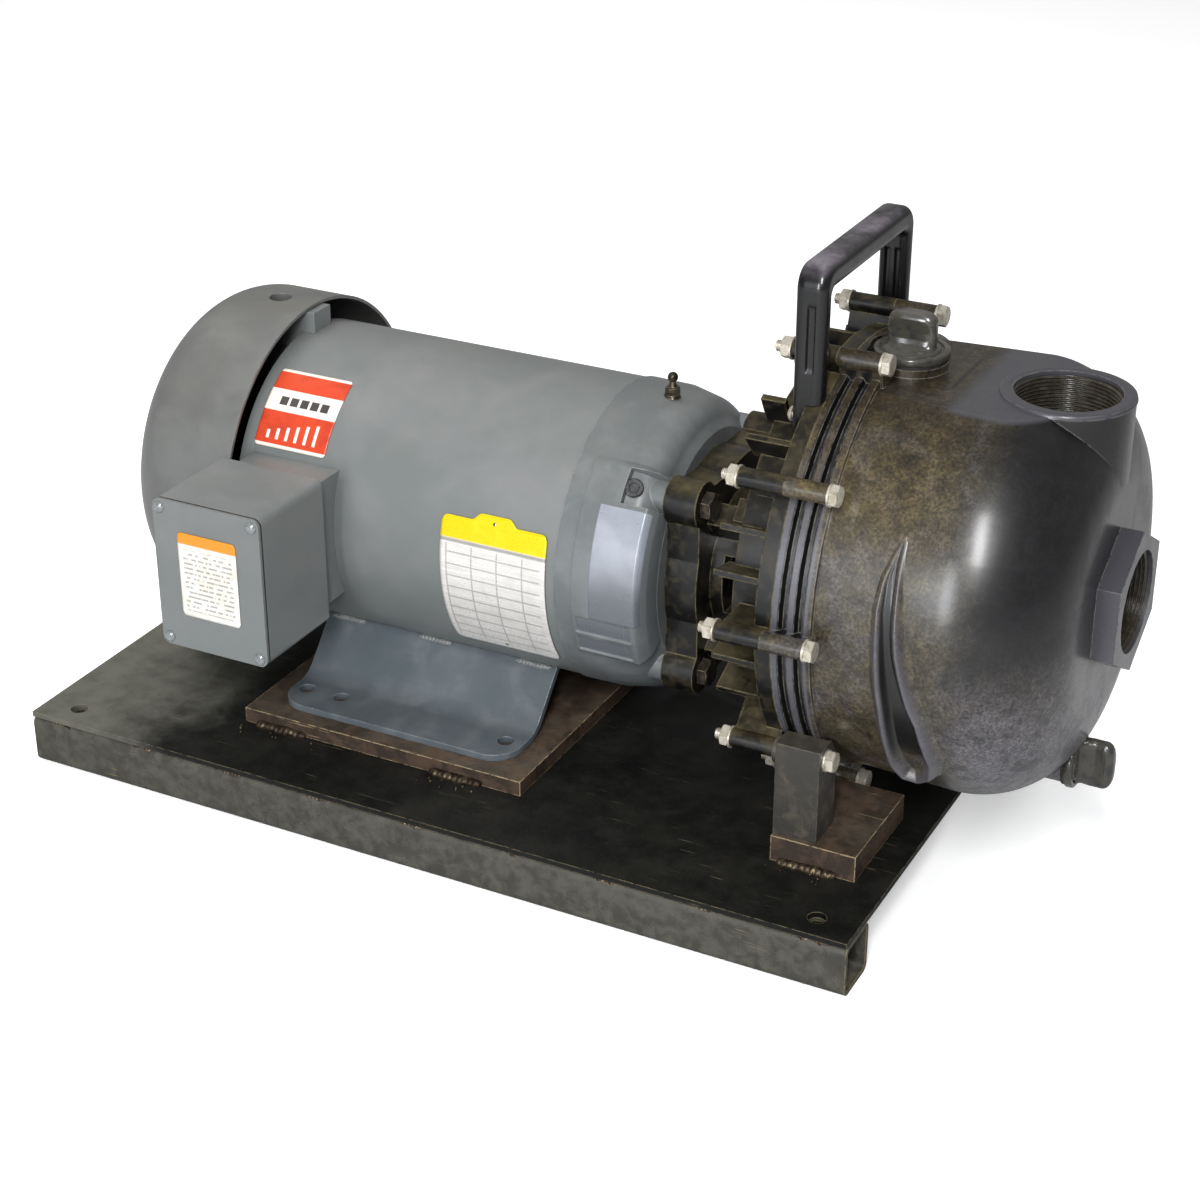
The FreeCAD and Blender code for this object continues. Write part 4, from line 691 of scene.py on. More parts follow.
@dataclass(frozen=True)
class Finish:
    """A surface finish: two colours in patches, specks, grain, wear, dust and gloss."""

    name: str
    base: Colour
    stain: Colour
    stain_mm: float = 30.0
    stain_cut: tuple[float, float] = (0.45, 0.68)
    speck: Colour | None = None
    speck_mm: float = 3.0
    speck_share: float = 0.18
    rough: tuple[float, float] = (0.4, 0.55)
    metal: float = 0.0
    coat: float = 0.0
    coat_rough: float = 0.1
    specular: float = 0.5
    grain_mm: float = 0.7
    grain_depth: float = 0.03
    grain_wave: float = 2.0
    worn: Colour | None = None
    worn_mm: float = 0.8
    worn_amount: float = 0.6
    dust: float = 0.15
    dust_colour: Colour = (150, 140, 120)
    scratch: float = 0.0
    edge_mm: float = 0.6

    made = {}

    def coordinates(self, graph: Graph) -> bpy.types.NodeSocket:
        """Coordinates that the patterns follow.

        Args:
            graph: The material's tree.

        Returns:
            The object's own coordinates.
        """
        return graph.add("ShaderNodeTexCoord").outputs["Object"]

    def tint(self, graph: Graph, vector: object, colour: object) -> bpy.types.NodeSocket:
        """Further colour of a special finish, none by default.

        Args:
            graph: The material's tree, not used.
            vector: Coordinates of the patterns, not used.
            colour: Colour so far.

        Returns:
            The new colour.
        """
        return colour

    def build(self) -> bpy.types.Material:
        """Make the material and keep it under its name.

        Returns:
            The material.
        """
        material = bpy.data.materials.new(self.name)
        material.use_nodes = True
        graph = Graph(material.node_tree)
        vector = self.coordinates(graph)
        patches = graph.use(Effect.PATCHES, Vector=vector, Size=self.stain_mm,
                            Low=self.stain_cut[0], High=self.stain_cut[1])
        colour = graph.mix(patches, linear(self.base), linear(self.stain))
        colour = self.tint(graph, vector, colour)
        if self.speck:
            specks = graph.use(Effect.SPECKS, Vector=vector, Size=self.speck_mm,
                               Share=self.speck_share)
            colour = graph.mix(specks, colour, linear(self.speck))
        fine = graph.noise(vector, 1000 / self.grain_mm / 2, 4.0, 0.7)
        rough = graph.step(graph.math("ADD", graph.math("MULTIPLY", patches, 0.5),
                                      graph.math("MULTIPLY", fine, 0.5)),
                           0.1, 0.7, self.rough[0], self.rough[1])
        if self.worn:
            rubbed = graph.use(Effect.EDGES, Width=self.worn_mm, Amount=self.worn_amount)
            colour = graph.mix(rubbed, colour, linear(self.worn))
        if self.scratch:
            marks = graph.use(Effect.SCRATCHES, Vector=vector, Amount=self.scratch)
            colour = graph.mix(marks, colour, linear(self.worn or self.stain))
        if self.dust:
            film = graph.use(Effect.DUST, Vector=vector, Amount=self.dust)
            colour = graph.mix(film, colour, linear(self.dust_colour))
            rough = graph.math("ADD", rough, graph.math("MULTIPLY", film, 0.25))
        normal = graph.use(Effect.ROUNDED, Width=self.edge_mm) if self.edge_mm else None
        grain = graph.use(Effect.GRAIN, Vector=vector, Size=self.grain_mm, Wave=self.grain_wave)
        normal = graph.bump(grain, self.grain_depth, normal)
        normal = self.relief(graph, vector, normal)
        shader = graph.add("ShaderNodeBsdfPrincipled")
        shader.inputs["Metallic"].default_value = self.metal
        shader.inputs["Coat Weight"].default_value = self.coat
        shader.inputs["Coat Roughness"].default_value = self.coat_rough
        shader.inputs["Specular IOR Level"].default_value = self.specular
        graph.feed(shader, "Base Color", colour)
        graph.feed(shader, "Roughness", rough)
        graph.feed(shader, "Normal", normal)
        out = graph.add("ShaderNodeOutputMaterial")
        graph.feed(out, 0, shader.outputs[0])
        Finish.made[self.name] = material
        return material

    def relief(self, graph: Graph, vector: object, normal: object) -> bpy.types.NodeSocket:
        """Further relief of a special finish, none by default.

        Args:
            graph: The material's tree, not used.
            vector: Coordinates of the patterns, not used.
            normal: Normal so far.

        Returns:
            The new normal.
        """
        return normal


@dataclass(frozen=True)
class DeckPaint(Finish):
    """Black deck paint with a painted pale reflection towards the motor's rear end."""

    painted_reflection: Colour = (92, 91, 83)

    def tint(self, graph: Graph, vector: object, colour: object) -> bpy.types.NodeSocket:
        """Painted pale reflection that grows towards -X, its edge broken by noise.

        Args:
            graph: The material's tree.
            vector: Coordinates of the patterns.
            colour: Colour so far.

        Returns:
            The new colour.
        """
        x, y, z = graph.split(vector)
        wander = graph.math("MULTIPLY", graph.noise(vector, 16.0, 5.0, 0.65), 0.16)
        share = graph.step(graph.math("ADD", x, wander), -0.085, -0.165)
        thin = graph.step(graph.noise(vector, 60.0, 6.0, 0.7), 0.2, 0.6, 0.55, 1.0)
        # Painted reflection: the deck paler towards -X.
        return graph.mix(graph.math("MULTIPLY", share, thin), colour, linear(self.painted_reflection))


@dataclass(frozen=True)
class BandEnamel(Finish):
    """Machined band on the bell, painted bright and bluish as a sheen that fades into the bell's grey at
    its lower end.
    """

    grey: Colour = (96, 100, 105)

    def tint(self, graph: Graph, vector: object, colour: object) -> bpy.types.NodeSocket:
        """The painted sheen fades downwards, its edge moved by noise.

        Args:
            graph: The material's tree.
            vector: Coordinates of the patterns.
            colour: Colour so far.

        Returns:
            The new colour.
        """
        x, y, z = graph.split(vector)
        height = graph.math("ADD", z, graph.math("MULTIPLY", graph.noise(vector, 40.0, 3.0), 0.012))
        # Painted sheen: lighter above, fading to the grey downwards.
        return graph.mix(graph.step(height, 0.195, 0.158), colour, linear(self.grey))


@dataclass(frozen=True)
class FilledPlastic(Finish):
    """Glass-filled moulded plastic with painted light: a lit olive by the flange, painted blue-black
    shade on the round corner and a painted lilac reflection below it.
    """

    flow: Colour = (16, 14, 12)
    dark: Colour = (11, 10, 13)
    corner_reflection: Colour = (86, 84, 91)
    machined: Colour = (66, 66, 72)
    ring: Colour = (82, 84, 94)
    grooves: tuple[float, ...] = (203.8, 213.0)
    groove_width: float = 6.6
    slot_x: float = 254.0
    slot_y: tuple[float, float] = (-24.0, 30.0)

    def tint(self, graph: Graph, vector: object, colour: object) -> bpy.types.NodeSocket:
        """Painted light in zones along the casing, flow marks, a fine fleck, painted shade in the ring's
        grooves and a top groove, and a painted bluish light on the ring.

        Args:
            graph: The material's tree.
            vector: Coordinates of the patterns.
            colour: Colour so far.

        Returns:
            The new colour.
        """
        x, y, z = graph.split(vector)
        wander = graph.math("MULTIPLY", graph.noise(vector, 34.0, 6.0, 0.7), 0.04)
        along = graph.math("ADD", x, wander)
        high = graph.step(z, 0.12, 0.2)
        low = graph.step(z, 0.19, 0.11)
        round_ = graph.step(along, 0.298, 0.33)
        # Painted shade: the round corner's upper part near black. Painted reflection: its lower part
        # lilac.
        colour = graph.mix(graph.math("MULTIPLY", round_, high), colour, linear(self.dark))
        colour = graph.mix(graph.math("MULTIPLY", round_, graph.math("MULTIPLY", low, 0.8)), colour,
                           linear(self.corner_reflection))
        drawn = graph.stretch(vector, (46.0, 18.0, 26.0))
        marks = graph.step(graph.noise(drawn, 1.0, 7.0, 0.68, 0.9), 0.54, 0.7, 0.0, 0.8)
        colour = graph.mix(marks, colour, linear(self.flow))
        # Painted light: a warmer, brighter olive over the upper side left of the round corner.
        lit_olive = graph.math("MULTIPLY", graph.step(z, 0.2, 0.26), graph.step(along, 0.31, 0.28))
        colour = graph.mix(lit_olive, colour, graph.mix(1.0, colour, (1.2, 1.08, 0.78, 1.0), "MULTIPLY"))
        for size, low, high in ((120.0, 0.52, 1.36), (560.0, 0.42, 1.58)):
            fleck = graph.step(graph.noise(vector, size, 5.0, 0.75), 0.34, 0.66, low, high)
            colour = graph.mix(1.0, colour, fleck, "MULTIPLY")
        # Painted shade: the casing darker towards its top.
        colour = graph.mix(1.0, colour, graph.step(z, 0.262, 0.289, 1.0, 0.5), "MULTIPLY")
        rise = graph.math("SUBTRACT", z, PUMP_Z * MM)
        reach = graph.math("ADD", graph.math("MULTIPLY", y, y), graph.math("MULTIPLY", rise, rise))
        sunk = graph.step(reach, 0.1285 ** 2, 0.1275 ** 2)
        half = self.groove_width / 2 * MM
        # Painted light: a bluish lit tone on the ring between its grooves, stronger lower down.
        band = graph.math("MULTIPLY", graph.step(x, 0.1972, 0.1976), graph.step(x, 0.2182, 0.2174))
        band = graph.math("MULTIPLY", graph.math("MULTIPLY", band, sunk),
                          graph.step(z, 0.275, 0.24, 0.0, 0.65))
        colour = graph.mix(band, colour, linear(self.ring))
        # Painted shade: the ring's grooves painted near black.
        for middle in self.grooves:
            off = graph.math("ABSOLUTE", graph.math("SUBTRACT", x, middle * MM))
            near = graph.step(off, half, half - 0.0005)
            colour = graph.mix(graph.math("MULTIPLY", near, sunk), colour, linear((4, 4, 4)))
        # Painted shade: a short groove on the casing's top painted dark.
        middle = sum(self.slot_y) / 2 * MM
        off = graph.math("ABSOLUTE", graph.math("SUBTRACT", x, self.slot_x * MM))
        side = graph.math("ABSOLUTE", graph.math("SUBTRACT", y, middle))
        end = self.slot_y[1] * MM - middle
        slot = graph.math("MULTIPLY", graph.step(off, 0.0016, 0.0008),
                          graph.step(side, end, end - 0.004))
        slot = graph.math("MULTIPLY", slot, graph.step(z, 0.2895, 0.29))
        colour = graph.mix(slot, colour, linear((12, 11, 10)))
        face = graph.math("MULTIPLY", graph.step(z, 0.2885, 0.2905), graph.step(x, 0.256, 0.268))
        bare = graph.math("MAXIMUM", face, graph.step(x, 0.3462, 0.3472))
        return graph.mix(graph.math("MULTIPLY", bare, 0.8), colour, linear(self.machined))


@dataclass(frozen=True)
class RidgePlastic(FilledPlastic):
    """The casing's plastic on its two ridges, with a painted highlight on the crests and painted black
    shade in the valley between them.
    """

    crest_highlight: Colour = (84, 83, 92)

    def tint(self, graph: Graph, vector: object, colour: object) -> bpy.types.NodeSocket:
        """The casing's own colour, with a paler painted highlight on the crests and painted black shade
        in the valley.

        Args:
            graph: The material's tree.
            vector: Coordinates of the patterns.
            colour: Colour so far.

        Returns:
            The new colour.
        """
        colour = super().tint(graph, vector, colour)
        high, deep, rest = graph.split(graph.add("ShaderNodeTexCoord").outputs["UV"])
        # Painted highlight on the crests and painted shade in the valley, from the sheet's height and
        # valley coordinates.
        colour = graph.mix(graph.math("MULTIPLY", high, 0.7), colour, linear(self.crest_highlight))
        return graph.mix(deep, colour, linear((8, 8, 9)))


@dataclass(frozen=True)
class Print(Finish):
    """A printed sheet, whose pattern follows the piece's own coordinates."""

    def sheet(self, graph: Graph) -> tuple[bpy.types.NodeSocket, ...]:
        """The sheet's own coordinates.

        Args:
            graph: The material's tree.

        Returns:
            Two sockets, from 0 to 1 across and up.
        """
        return graph.split(graph.add("ShaderNodeTexCoord").outputs["UV"])[:2]

    def band(self, graph: Graph, value: object, low: float, high: float,
             soft: float = 0.006) -> bpy.types.NodeSocket:
        """Mask that is 1 between two values.

        Args:
            graph: The material's tree.
            value: Value or socket.
            low: Start of the band.
            high: End of the band.
            soft: Half the width of its soft edges.

        Returns:
            The mask's socket.
        """
        rise = graph.step(value, low - soft, low + soft)
        fall = graph.step(value, high + soft, high - soft)
        return graph.math("MULTIPLY", rise, fall)


@dataclass(frozen=True)
class StickerPrint(Print):
    """Orange-red sticker with a pale panel of grey blocks over a row of thin upright lines."""

    pale: Colour = (226, 218, 206)
    ink: Colour = (66, 62, 62)

    def tint(self, graph: Graph, vector: object, colour: object) -> bpy.types.NodeSocket:
        """Bands of v for the panel, and bands of u for the blocks and the lines.

        Args:
            graph: The material's tree.
            vector: Coordinates of the patterns, not used.
            colour: Colour so far.

        Returns:
            The new colour.
        """
        u, v = self.sheet(graph)
        colour = graph.mix(self.band(graph, v, 0.44, 0.72), colour, linear(self.pale))
        beat = graph.math("FRACT", graph.math("MULTIPLY", u, 7.0))
        block = graph.math("MULTIPLY", self.band(graph, v, 0.52, 0.63), self.band(graph, u, 0.14, 0.86))
        block = graph.math("MULTIPLY", block, graph.step(beat, 0.22, 0.26))
        colour = graph.mix(block, colour, linear(self.ink))
        for number in range(6):
            start = 0.14 + 0.13 * number
            line = graph.math("MULTIPLY", self.band(graph, u, start, start + 0.04),
                              self.band(graph, v, 0.1, 0.2 + 0.03 * number))
            colour = graph.mix(line, colour, linear(self.pale))
        rim = graph.math("MAXIMUM", self.band(graph, v, -1, 0.04), self.band(graph, v, 0.96, 2))
        return graph.mix(rim, colour, linear(self.pale))


@dataclass(frozen=True)
class BoxLabelPrint(Print):
    """White label with an orange band at the top and rows of soft grey bars."""

    orange: Colour = (216, 134, 26)
    grey: Colour = (92, 90, 90)

    def tint(self, graph: Graph, vector: object, colour: object) -> bpy.types.NodeSocket:
        """Band above v = 0.87, bars where a row wave and a block noise agree.

        Args:
            graph: The material's tree.
            vector: Coordinates of the patterns, not used.
            colour: Colour so far.

        Returns:
            The new colour.
        """
        u, v = self.sheet(graph)
        colour = graph.mix(self.band(graph, v, 0.87, 2), colour, linear(self.orange))
        rows = graph.step(graph.math("SINE", graph.math("MULTIPLY", v, 110.0)), 0.1, 0.5)
        blocks = graph.add("ShaderNodeCombineXYZ")
        graph.feed(blocks, 0, graph.math("MULTIPLY", u, 9.0))
        graph.feed(blocks, 1, graph.math("FLOOR", graph.math("MULTIPLY", v, 17.5)))
        words = graph.step(graph.noise(blocks.outputs[0], 1.9, 1.0), 0.42, 0.5)
        inside = graph.math("MULTIPLY", self.band(graph, u, 0.08, 0.92), self.band(graph, v, 0.07, 0.81))
        bars = graph.math("MULTIPLY", graph.math("MULTIPLY", rows, words), inside)
        return graph.mix(graph.math("MULTIPLY", bars, 0.6), colour, linear(self.grey))


@dataclass(frozen=True)
class PlatePrint(Print):
    """Aluminium nameplate: yellow field on top, brushed metal with faint ruled lines below."""

    yellow: Colour = (226, 200, 12)
    ink: Colour = (120, 118, 114)

    def tint(self, graph: Graph, vector: object, colour: object) -> bpy.types.NodeSocket:
        """Yellow above v = 0.8, then ruled lines and small blank boxes.

        Args:
            graph: The material's tree.
            vector: Coordinates of the patterns.
            colour: Colour so far.

        Returns:
            The new colour.
        """
        u, v = self.sheet(graph)
        brushed = graph.noise(graph.stretch(vector, (40.0, 1500.0, 1500.0)), 1.0, 2.0)
        colour = graph.mix(graph.step(brushed, 0.3, 0.7, 0.0, 0.5), colour, linear((186, 184, 180)))
        colour = graph.mix(self.band(graph, v, 0.815, 2), colour, linear(self.yellow))
        rules = graph.step(graph.math("SINE", graph.math("MULTIPLY", v, 80.0)), 0.86, 0.97)
        ticks = graph.step(graph.math("SINE", graph.math("MULTIPLY", u, 26.0)), 0.975, 0.995)
        inside = graph.math("MULTIPLY", self.band(graph, u, 0.05, 0.95), self.band(graph, v, 0.06, 0.78))
        lines = graph.math("MULTIPLY", graph.math("MAXIMUM", rules, ticks), inside)
        colour = graph.mix(graph.math("MULTIPLY", lines, 0.55), colour, linear(self.ink))
        edge = self.band(graph, v, 0.79, 0.812)
        return graph.mix(graph.math("MULTIPLY", edge, 0.7), colour, linear(self.ink))


@dataclass(frozen=True)
class Laminated(Finish):
    """Stacked steel sheets across the shaft."""

    def relief(self, graph: Graph, vector: object, normal: object) -> bpy.types.NodeSocket:
        """Fine grooves across X, one sheet each half millimetre.

        Args:
            graph: The material's tree.
            vector: Coordinates of the patterns.
            normal: Normal so far.

        Returns:
            The new normal.
        """
        x = graph.split(vector)[0]
        return graph.bump(graph.math("SINE", graph.math("MULTIPLY", x, 12566.0)), 0.05, normal)


@dataclass(frozen=True)
class Wound(Finish):
    """Varnished wire ends wound round the stator."""

    def relief(self, graph: Graph, vector: object, normal: object) -> bpy.types.NodeSocket:
        """Wires that run round the axis, as waves across X bent by noise.

        Args:
            graph: The material's tree.
            vector: Coordinates of the patterns.
            normal: Normal so far.

        Returns:
            The new normal.
        """
        x, y, z = graph.split(vector)
        bend = graph.math("MULTIPLY", graph.noise(vector, 30.0, 2.0), 0.012)
        wave = graph.math("SINE", graph.math("MULTIPLY", graph.math("ADD", x, bend), 4200.0))
        return graph.bump(wave, 0.3, normal)


FINISHES = (
    Finish("motor_enamel", (103, 107, 106), (113, 114, 114), 60, (0.4, 0.7), (80, 82, 80), 2.6, 0.12,
           rough=(0.36, 0.48), coat=0.2, coat_rough=0.3, grain_mm=1.6, grain_depth=0.03,
           worn=(158, 160, 158), worn_mm=0.7, worn_amount=0.35, dust=0.1, dust_colour=(160, 154, 140),
           edge_mm=0.9),
    Finish("bell_enamel", (92, 96, 97), (106, 109, 110), 34, (0.42, 0.7), (74, 76, 74), 2.2, 0.13,
           rough=(0.36, 0.5), coat=0.15, coat_rough=0.25, grain_mm=2.4, grain_depth=0.08, grain_wave=3,
           worn=(172, 172, 168), worn_mm=0.9, worn_amount=0.6, dust=0.12, edge_mm=1.1),
    Finish("cover_enamel", (92, 93, 91), (102, 103, 101), 40, (0.4, 0.7), (72, 74, 70), 2.4, 0.16,
           rough=(0.34, 0.46), coat=0.2, coat_rough=0.2, grain_mm=1.6, grain_depth=0.04,
           worn=(150, 150, 146), worn_mm=0.7, worn_amount=0.4, dust=0.12, edge_mm=0.9),
    # A darker, bluer copy of the motor's paint on the feet, low on the shell: painted shade.
    Finish("foot_enamel", (76, 84, 89), (90, 96, 100), 24, (0.42, 0.7), (58, 64, 66), 2.4, 0.14,
           rough=(0.28, 0.42), coat=0.4, coat_rough=0.12, grain_mm=1.8, grain_depth=0.05,
           worn=(150, 156, 158), worn_mm=0.8, worn_amount=0.6, dust=0.08, edge_mm=1.0),
    # Bright bluish colour of the bell's band: a painted sheen.
    BandEnamel("bell_band", (142, 147, 156), (152, 156, 164), 20, (0.42, 0.7), (112, 116, 122), 2.0, 0.1,
           rough=(0.26, 0.38), metal=0.15, coat=0.5, coat_rough=0.25, grain_mm=2.0, grain_depth=0.04,
           dust=0.05, edge_mm=0.5),
    DeckPaint("deck_paint", (10, 11, 10), (18, 18, 16), 46, (0.45, 0.7), (84, 76, 58), 4, 0.1,
              rough=(0.46, 0.7), specular=0.22, grain_mm=1.2, grain_depth=0.06,
              worn=(118, 108, 82), worn_mm=0.8, worn_amount=0.8, dust=0.1,
              dust_colour=(84, 80, 70), scratch=0.5),
    Finish("rail_scale", (48, 46, 39), (70, 68, 60), 9, (0.36, 0.66), (22, 21, 19), 2.2, 0.3,
           rough=(0.45, 0.75), grain_mm=1.4, grain_depth=0.12, worn=(152, 134, 92), worn_mm=1.0,
           worn_amount=0.8, dust=0.2, scratch=0.8),
    Finish("rusty_steel", (50, 40, 33), (72, 54, 40), 12, (0.38, 0.66), (22, 19, 17), 3.4, 0.26,
           rough=(0.45, 0.7), metal=0.15, grain_mm=1.2, grain_depth=0.1, worn=(190, 168, 128),
           worn_mm=1.1, worn_amount=1.0, dust=0.2, scratch=0.5),
    Finish("weld_metal", (96, 84, 66), (44, 34, 26), 5, (0.36, 0.6), (24, 20, 17), 1.6, 0.22,
           rough=(0.28, 0.5), metal=0.75, grain_mm=0.8, grain_depth=0.12, edge_mm=0.0, dust=0.0),
    # Its light worn edges are partly wear and partly painted highlights on the ring's ridges.
    FilledPlastic("casing_plastic", (60, 54, 40), (66, 62, 60), 22, (0.46, 0.66), (20, 18, 14), 2.2,
                  0.2, rough=(0.42, 0.58), specular=0.3, coat=0.8, coat_rough=0.26, grain_mm=1.0,
                  grain_depth=0.05, worn=(132, 128, 120), worn_mm=0.9, worn_amount=0.8, dust=0.12,
                  dust_colour=(66, 61, 60), edge_mm=1.0),
    RidgePlastic("ridge_plastic", (60, 54, 40), (66, 62, 60), 22, (0.46, 0.66), (20, 18, 14), 2.2,
                 0.2, rough=(0.38, 0.5), specular=0.4, coat=0.6, coat_rough=0.25, grain_mm=1.0,
                 grain_depth=0.05, dust=0.1, dust_colour=(66, 61, 60), edge_mm=0.0),
    # Its olive film on upward faces and its light worn edges are partly dust and wear and partly painted
    # light on the lit tops and rib edges.
    Finish("bracket_iron", (8, 8, 8), (42, 36, 22), 9, (0.46, 0.68), (11, 10, 8), 2.2, 0.22,
           rough=(0.32, 0.5), specular=0.35, coat=0.25, coat_rough=0.16, grain_mm=1.6, grain_depth=0.05,
           worn=(118, 106, 72), worn_mm=1.4, worn_amount=0.8, dust=0.4, dust_colour=(104, 95, 64),
           edge_mm=1.2),
    # Its heavy lilac-grey film on upward faces is settled dust and a painted sheen on the handle's top.
    Finish("handle_gloss", (8, 8, 9), (13, 12, 13), 30, (0.4, 0.7), None, rough=(0.26, 0.38),
           specular=0.4, coat=0.4, coat_rough=0.14, grain_mm=2.0, grain_depth=0.02, dust=0.7,
           dust_colour=(140, 132, 142), edge_mm=0.8),
    Finish("plug_gloss", (58, 56, 50), (36, 35, 36), 8, (0.45, 0.7), (96, 92, 86), 1.6, 0.14,
           rough=(0.24, 0.38), coat=0.6, coat_rough=0.12, grain_mm=1.2, grain_depth=0.03, dust=0.4,
           dust_colour=(124, 120, 112), edge_mm=0.5),
    Finish("leg_plastic", (48, 46, 42), (66, 60, 50), 10, (0.45, 0.7), (96, 88, 70), 2.2, 0.16,
           rough=(0.35, 0.55), grain_mm=1.0, grain_depth=0.06, worn=(120, 110, 88), worn_amount=0.5,
           dust=0.2, edge_mm=1.0),
    Finish("zinc_steel", (206, 200, 186), (168, 160, 142), 4, (0.42, 0.66), (104, 94, 74), 1.2, 0.18,
           rough=(0.26, 0.44), metal=0.6, grain_mm=0.5, grain_depth=0.02, edge_mm=0.3, dust=0.0),
    Finish("dark_steel", (52, 48, 42), (84, 76, 62), 5, (0.45, 0.68), (30, 26, 22), 1.4, 0.2,
           rough=(0.25, 0.45), metal=0.7, grain_mm=0.7, grain_depth=0.05, worn=(170, 156, 124),
           worn_mm=0.6, worn_amount=0.8, edge_mm=0.5, dust=0.1),
    Finish("bare_steel", (150, 148, 142), (122, 116, 106), 10, (0.42, 0.68), (96, 84, 66), 1.8, 0.14,
           rough=(0.22, 0.4), metal=1.0, grain_mm=0.6, grain_depth=0.02, edge_mm=0.3, dust=0.0,
           scratch=0.3, worn=(190, 188, 182), worn_amount=0.4),
    Laminated("lamination_steel", (120, 120, 118), (96, 94, 90), 8, rough=(0.3, 0.45), metal=0.9,
              grain_mm=0.5, grain_depth=0.02, edge_mm=0.0, dust=0.0),
    Wound("copper_windings", (150, 82, 40), (112, 58, 28), 6, rough=(0.3, 0.45), metal=0.6,
          coat=0.4, grain_mm=0.8, grain_depth=0.05, edge_mm=0.0, dust=0.0),
    Finish("bearing_steel", (188, 188, 186), (168, 166, 162), 6, rough=(0.12, 0.22), metal=1.0,
           grain_mm=0.4, grain_depth=0.01, edge_mm=0.3, dust=0.0),
    Finish("rubber_seal", (26, 25, 24), (44, 42, 40), 4, rough=(0.55, 0.75), grain_mm=0.6,
           grain_depth=0.04, edge_mm=0.4, dust=0.1, speck=(60, 58, 56), speck_mm=1.2),
    Finish("fan_plastic", (24, 25, 26), (38, 38, 38), 14, rough=(0.4, 0.55), grain_mm=0.9,
           grain_depth=0.04, dust=0.3, speck=(60, 60, 60), speck_mm=1.6),
    Finish("seal_carbon", (34, 34, 36), (48, 48, 50), 3, rough=(0.25, 0.4), metal=0.3, grain_mm=0.3,
           grain_depth=0.02, dust=0.0, edge_mm=0.2),
    Finish("stainless", (178, 178, 176), (158, 156, 152), 8, rough=(0.16, 0.3), metal=1.0,
           grain_mm=0.5, grain_depth=0.01, edge_mm=0.3, dust=0.0),
    Finish("thread_plastic", (40, 36, 29), (62, 58, 50), 6, (0.45, 0.7), (30, 28, 22), 1.4, 0.2,
           rough=(0.25, 0.42), coat=0.3, grain_mm=0.7, grain_depth=0.04, edge_mm=0.0, dust=0.1),
    Finish("screw_glint", (124, 128, 130), (150, 152, 152), 2, rough=(0.18, 0.3), metal=0.35,
           coat=0.5, grain_mm=0.5, grain_depth=0.02, edge_mm=0.3, dust=0.0, speck=(80, 82, 82),
           speck_mm=0.8),
    StickerPrint("sticker_print", (196, 62, 30), (176, 52, 28), 9, rough=(0.3, 0.42), coat=0.3,
                 grain_mm=0.8, grain_depth=0.02, edge_mm=0.0, dust=0.08),
    BoxLabelPrint("box_label_print", (216, 213, 205), (204, 199, 188), 12, rough=(0.32, 0.45),
                  coat=0.3, grain_mm=0.8, grain_depth=0.02, edge_mm=0.0, dust=0.08),
    # Its near-white base stands partly for the floor's reflection in the plate: a painted reflection over
    # the aluminium's own colour.
    PlatePrint("plate_print", (228, 224, 220), (212, 209, 204), 12, rough=(0.26, 0.4), metal=0.25,
               grain_mm=0.6, grain_depth=0.02, edge_mm=0.0, dust=0.08),
)


# ---------------------------------------------------------------- sub-assemblies

def dress(finish: str, *nodes: str) -> None:
    """Give carried-over CAD nodes a finish, and smooth shading over their round faces.

    Args:
        finish: Name of the material.
        *nodes: Names of the nodes.
    """
    for name in nodes:
        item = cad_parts[name]
        item.data.materials.clear()
        item.data.materials.append(Finish.made[finish])
        weld = item.modifiers.new("Weld", "WELD")
        weld.merge_threshold = 1e-6
        sharp = item.modifiers.new("Sharp edges", "EDGE_SPLIT")
        sharp.split_angle = math.radians(26)
        LOG.info("%s dressed in %s", name, finish)


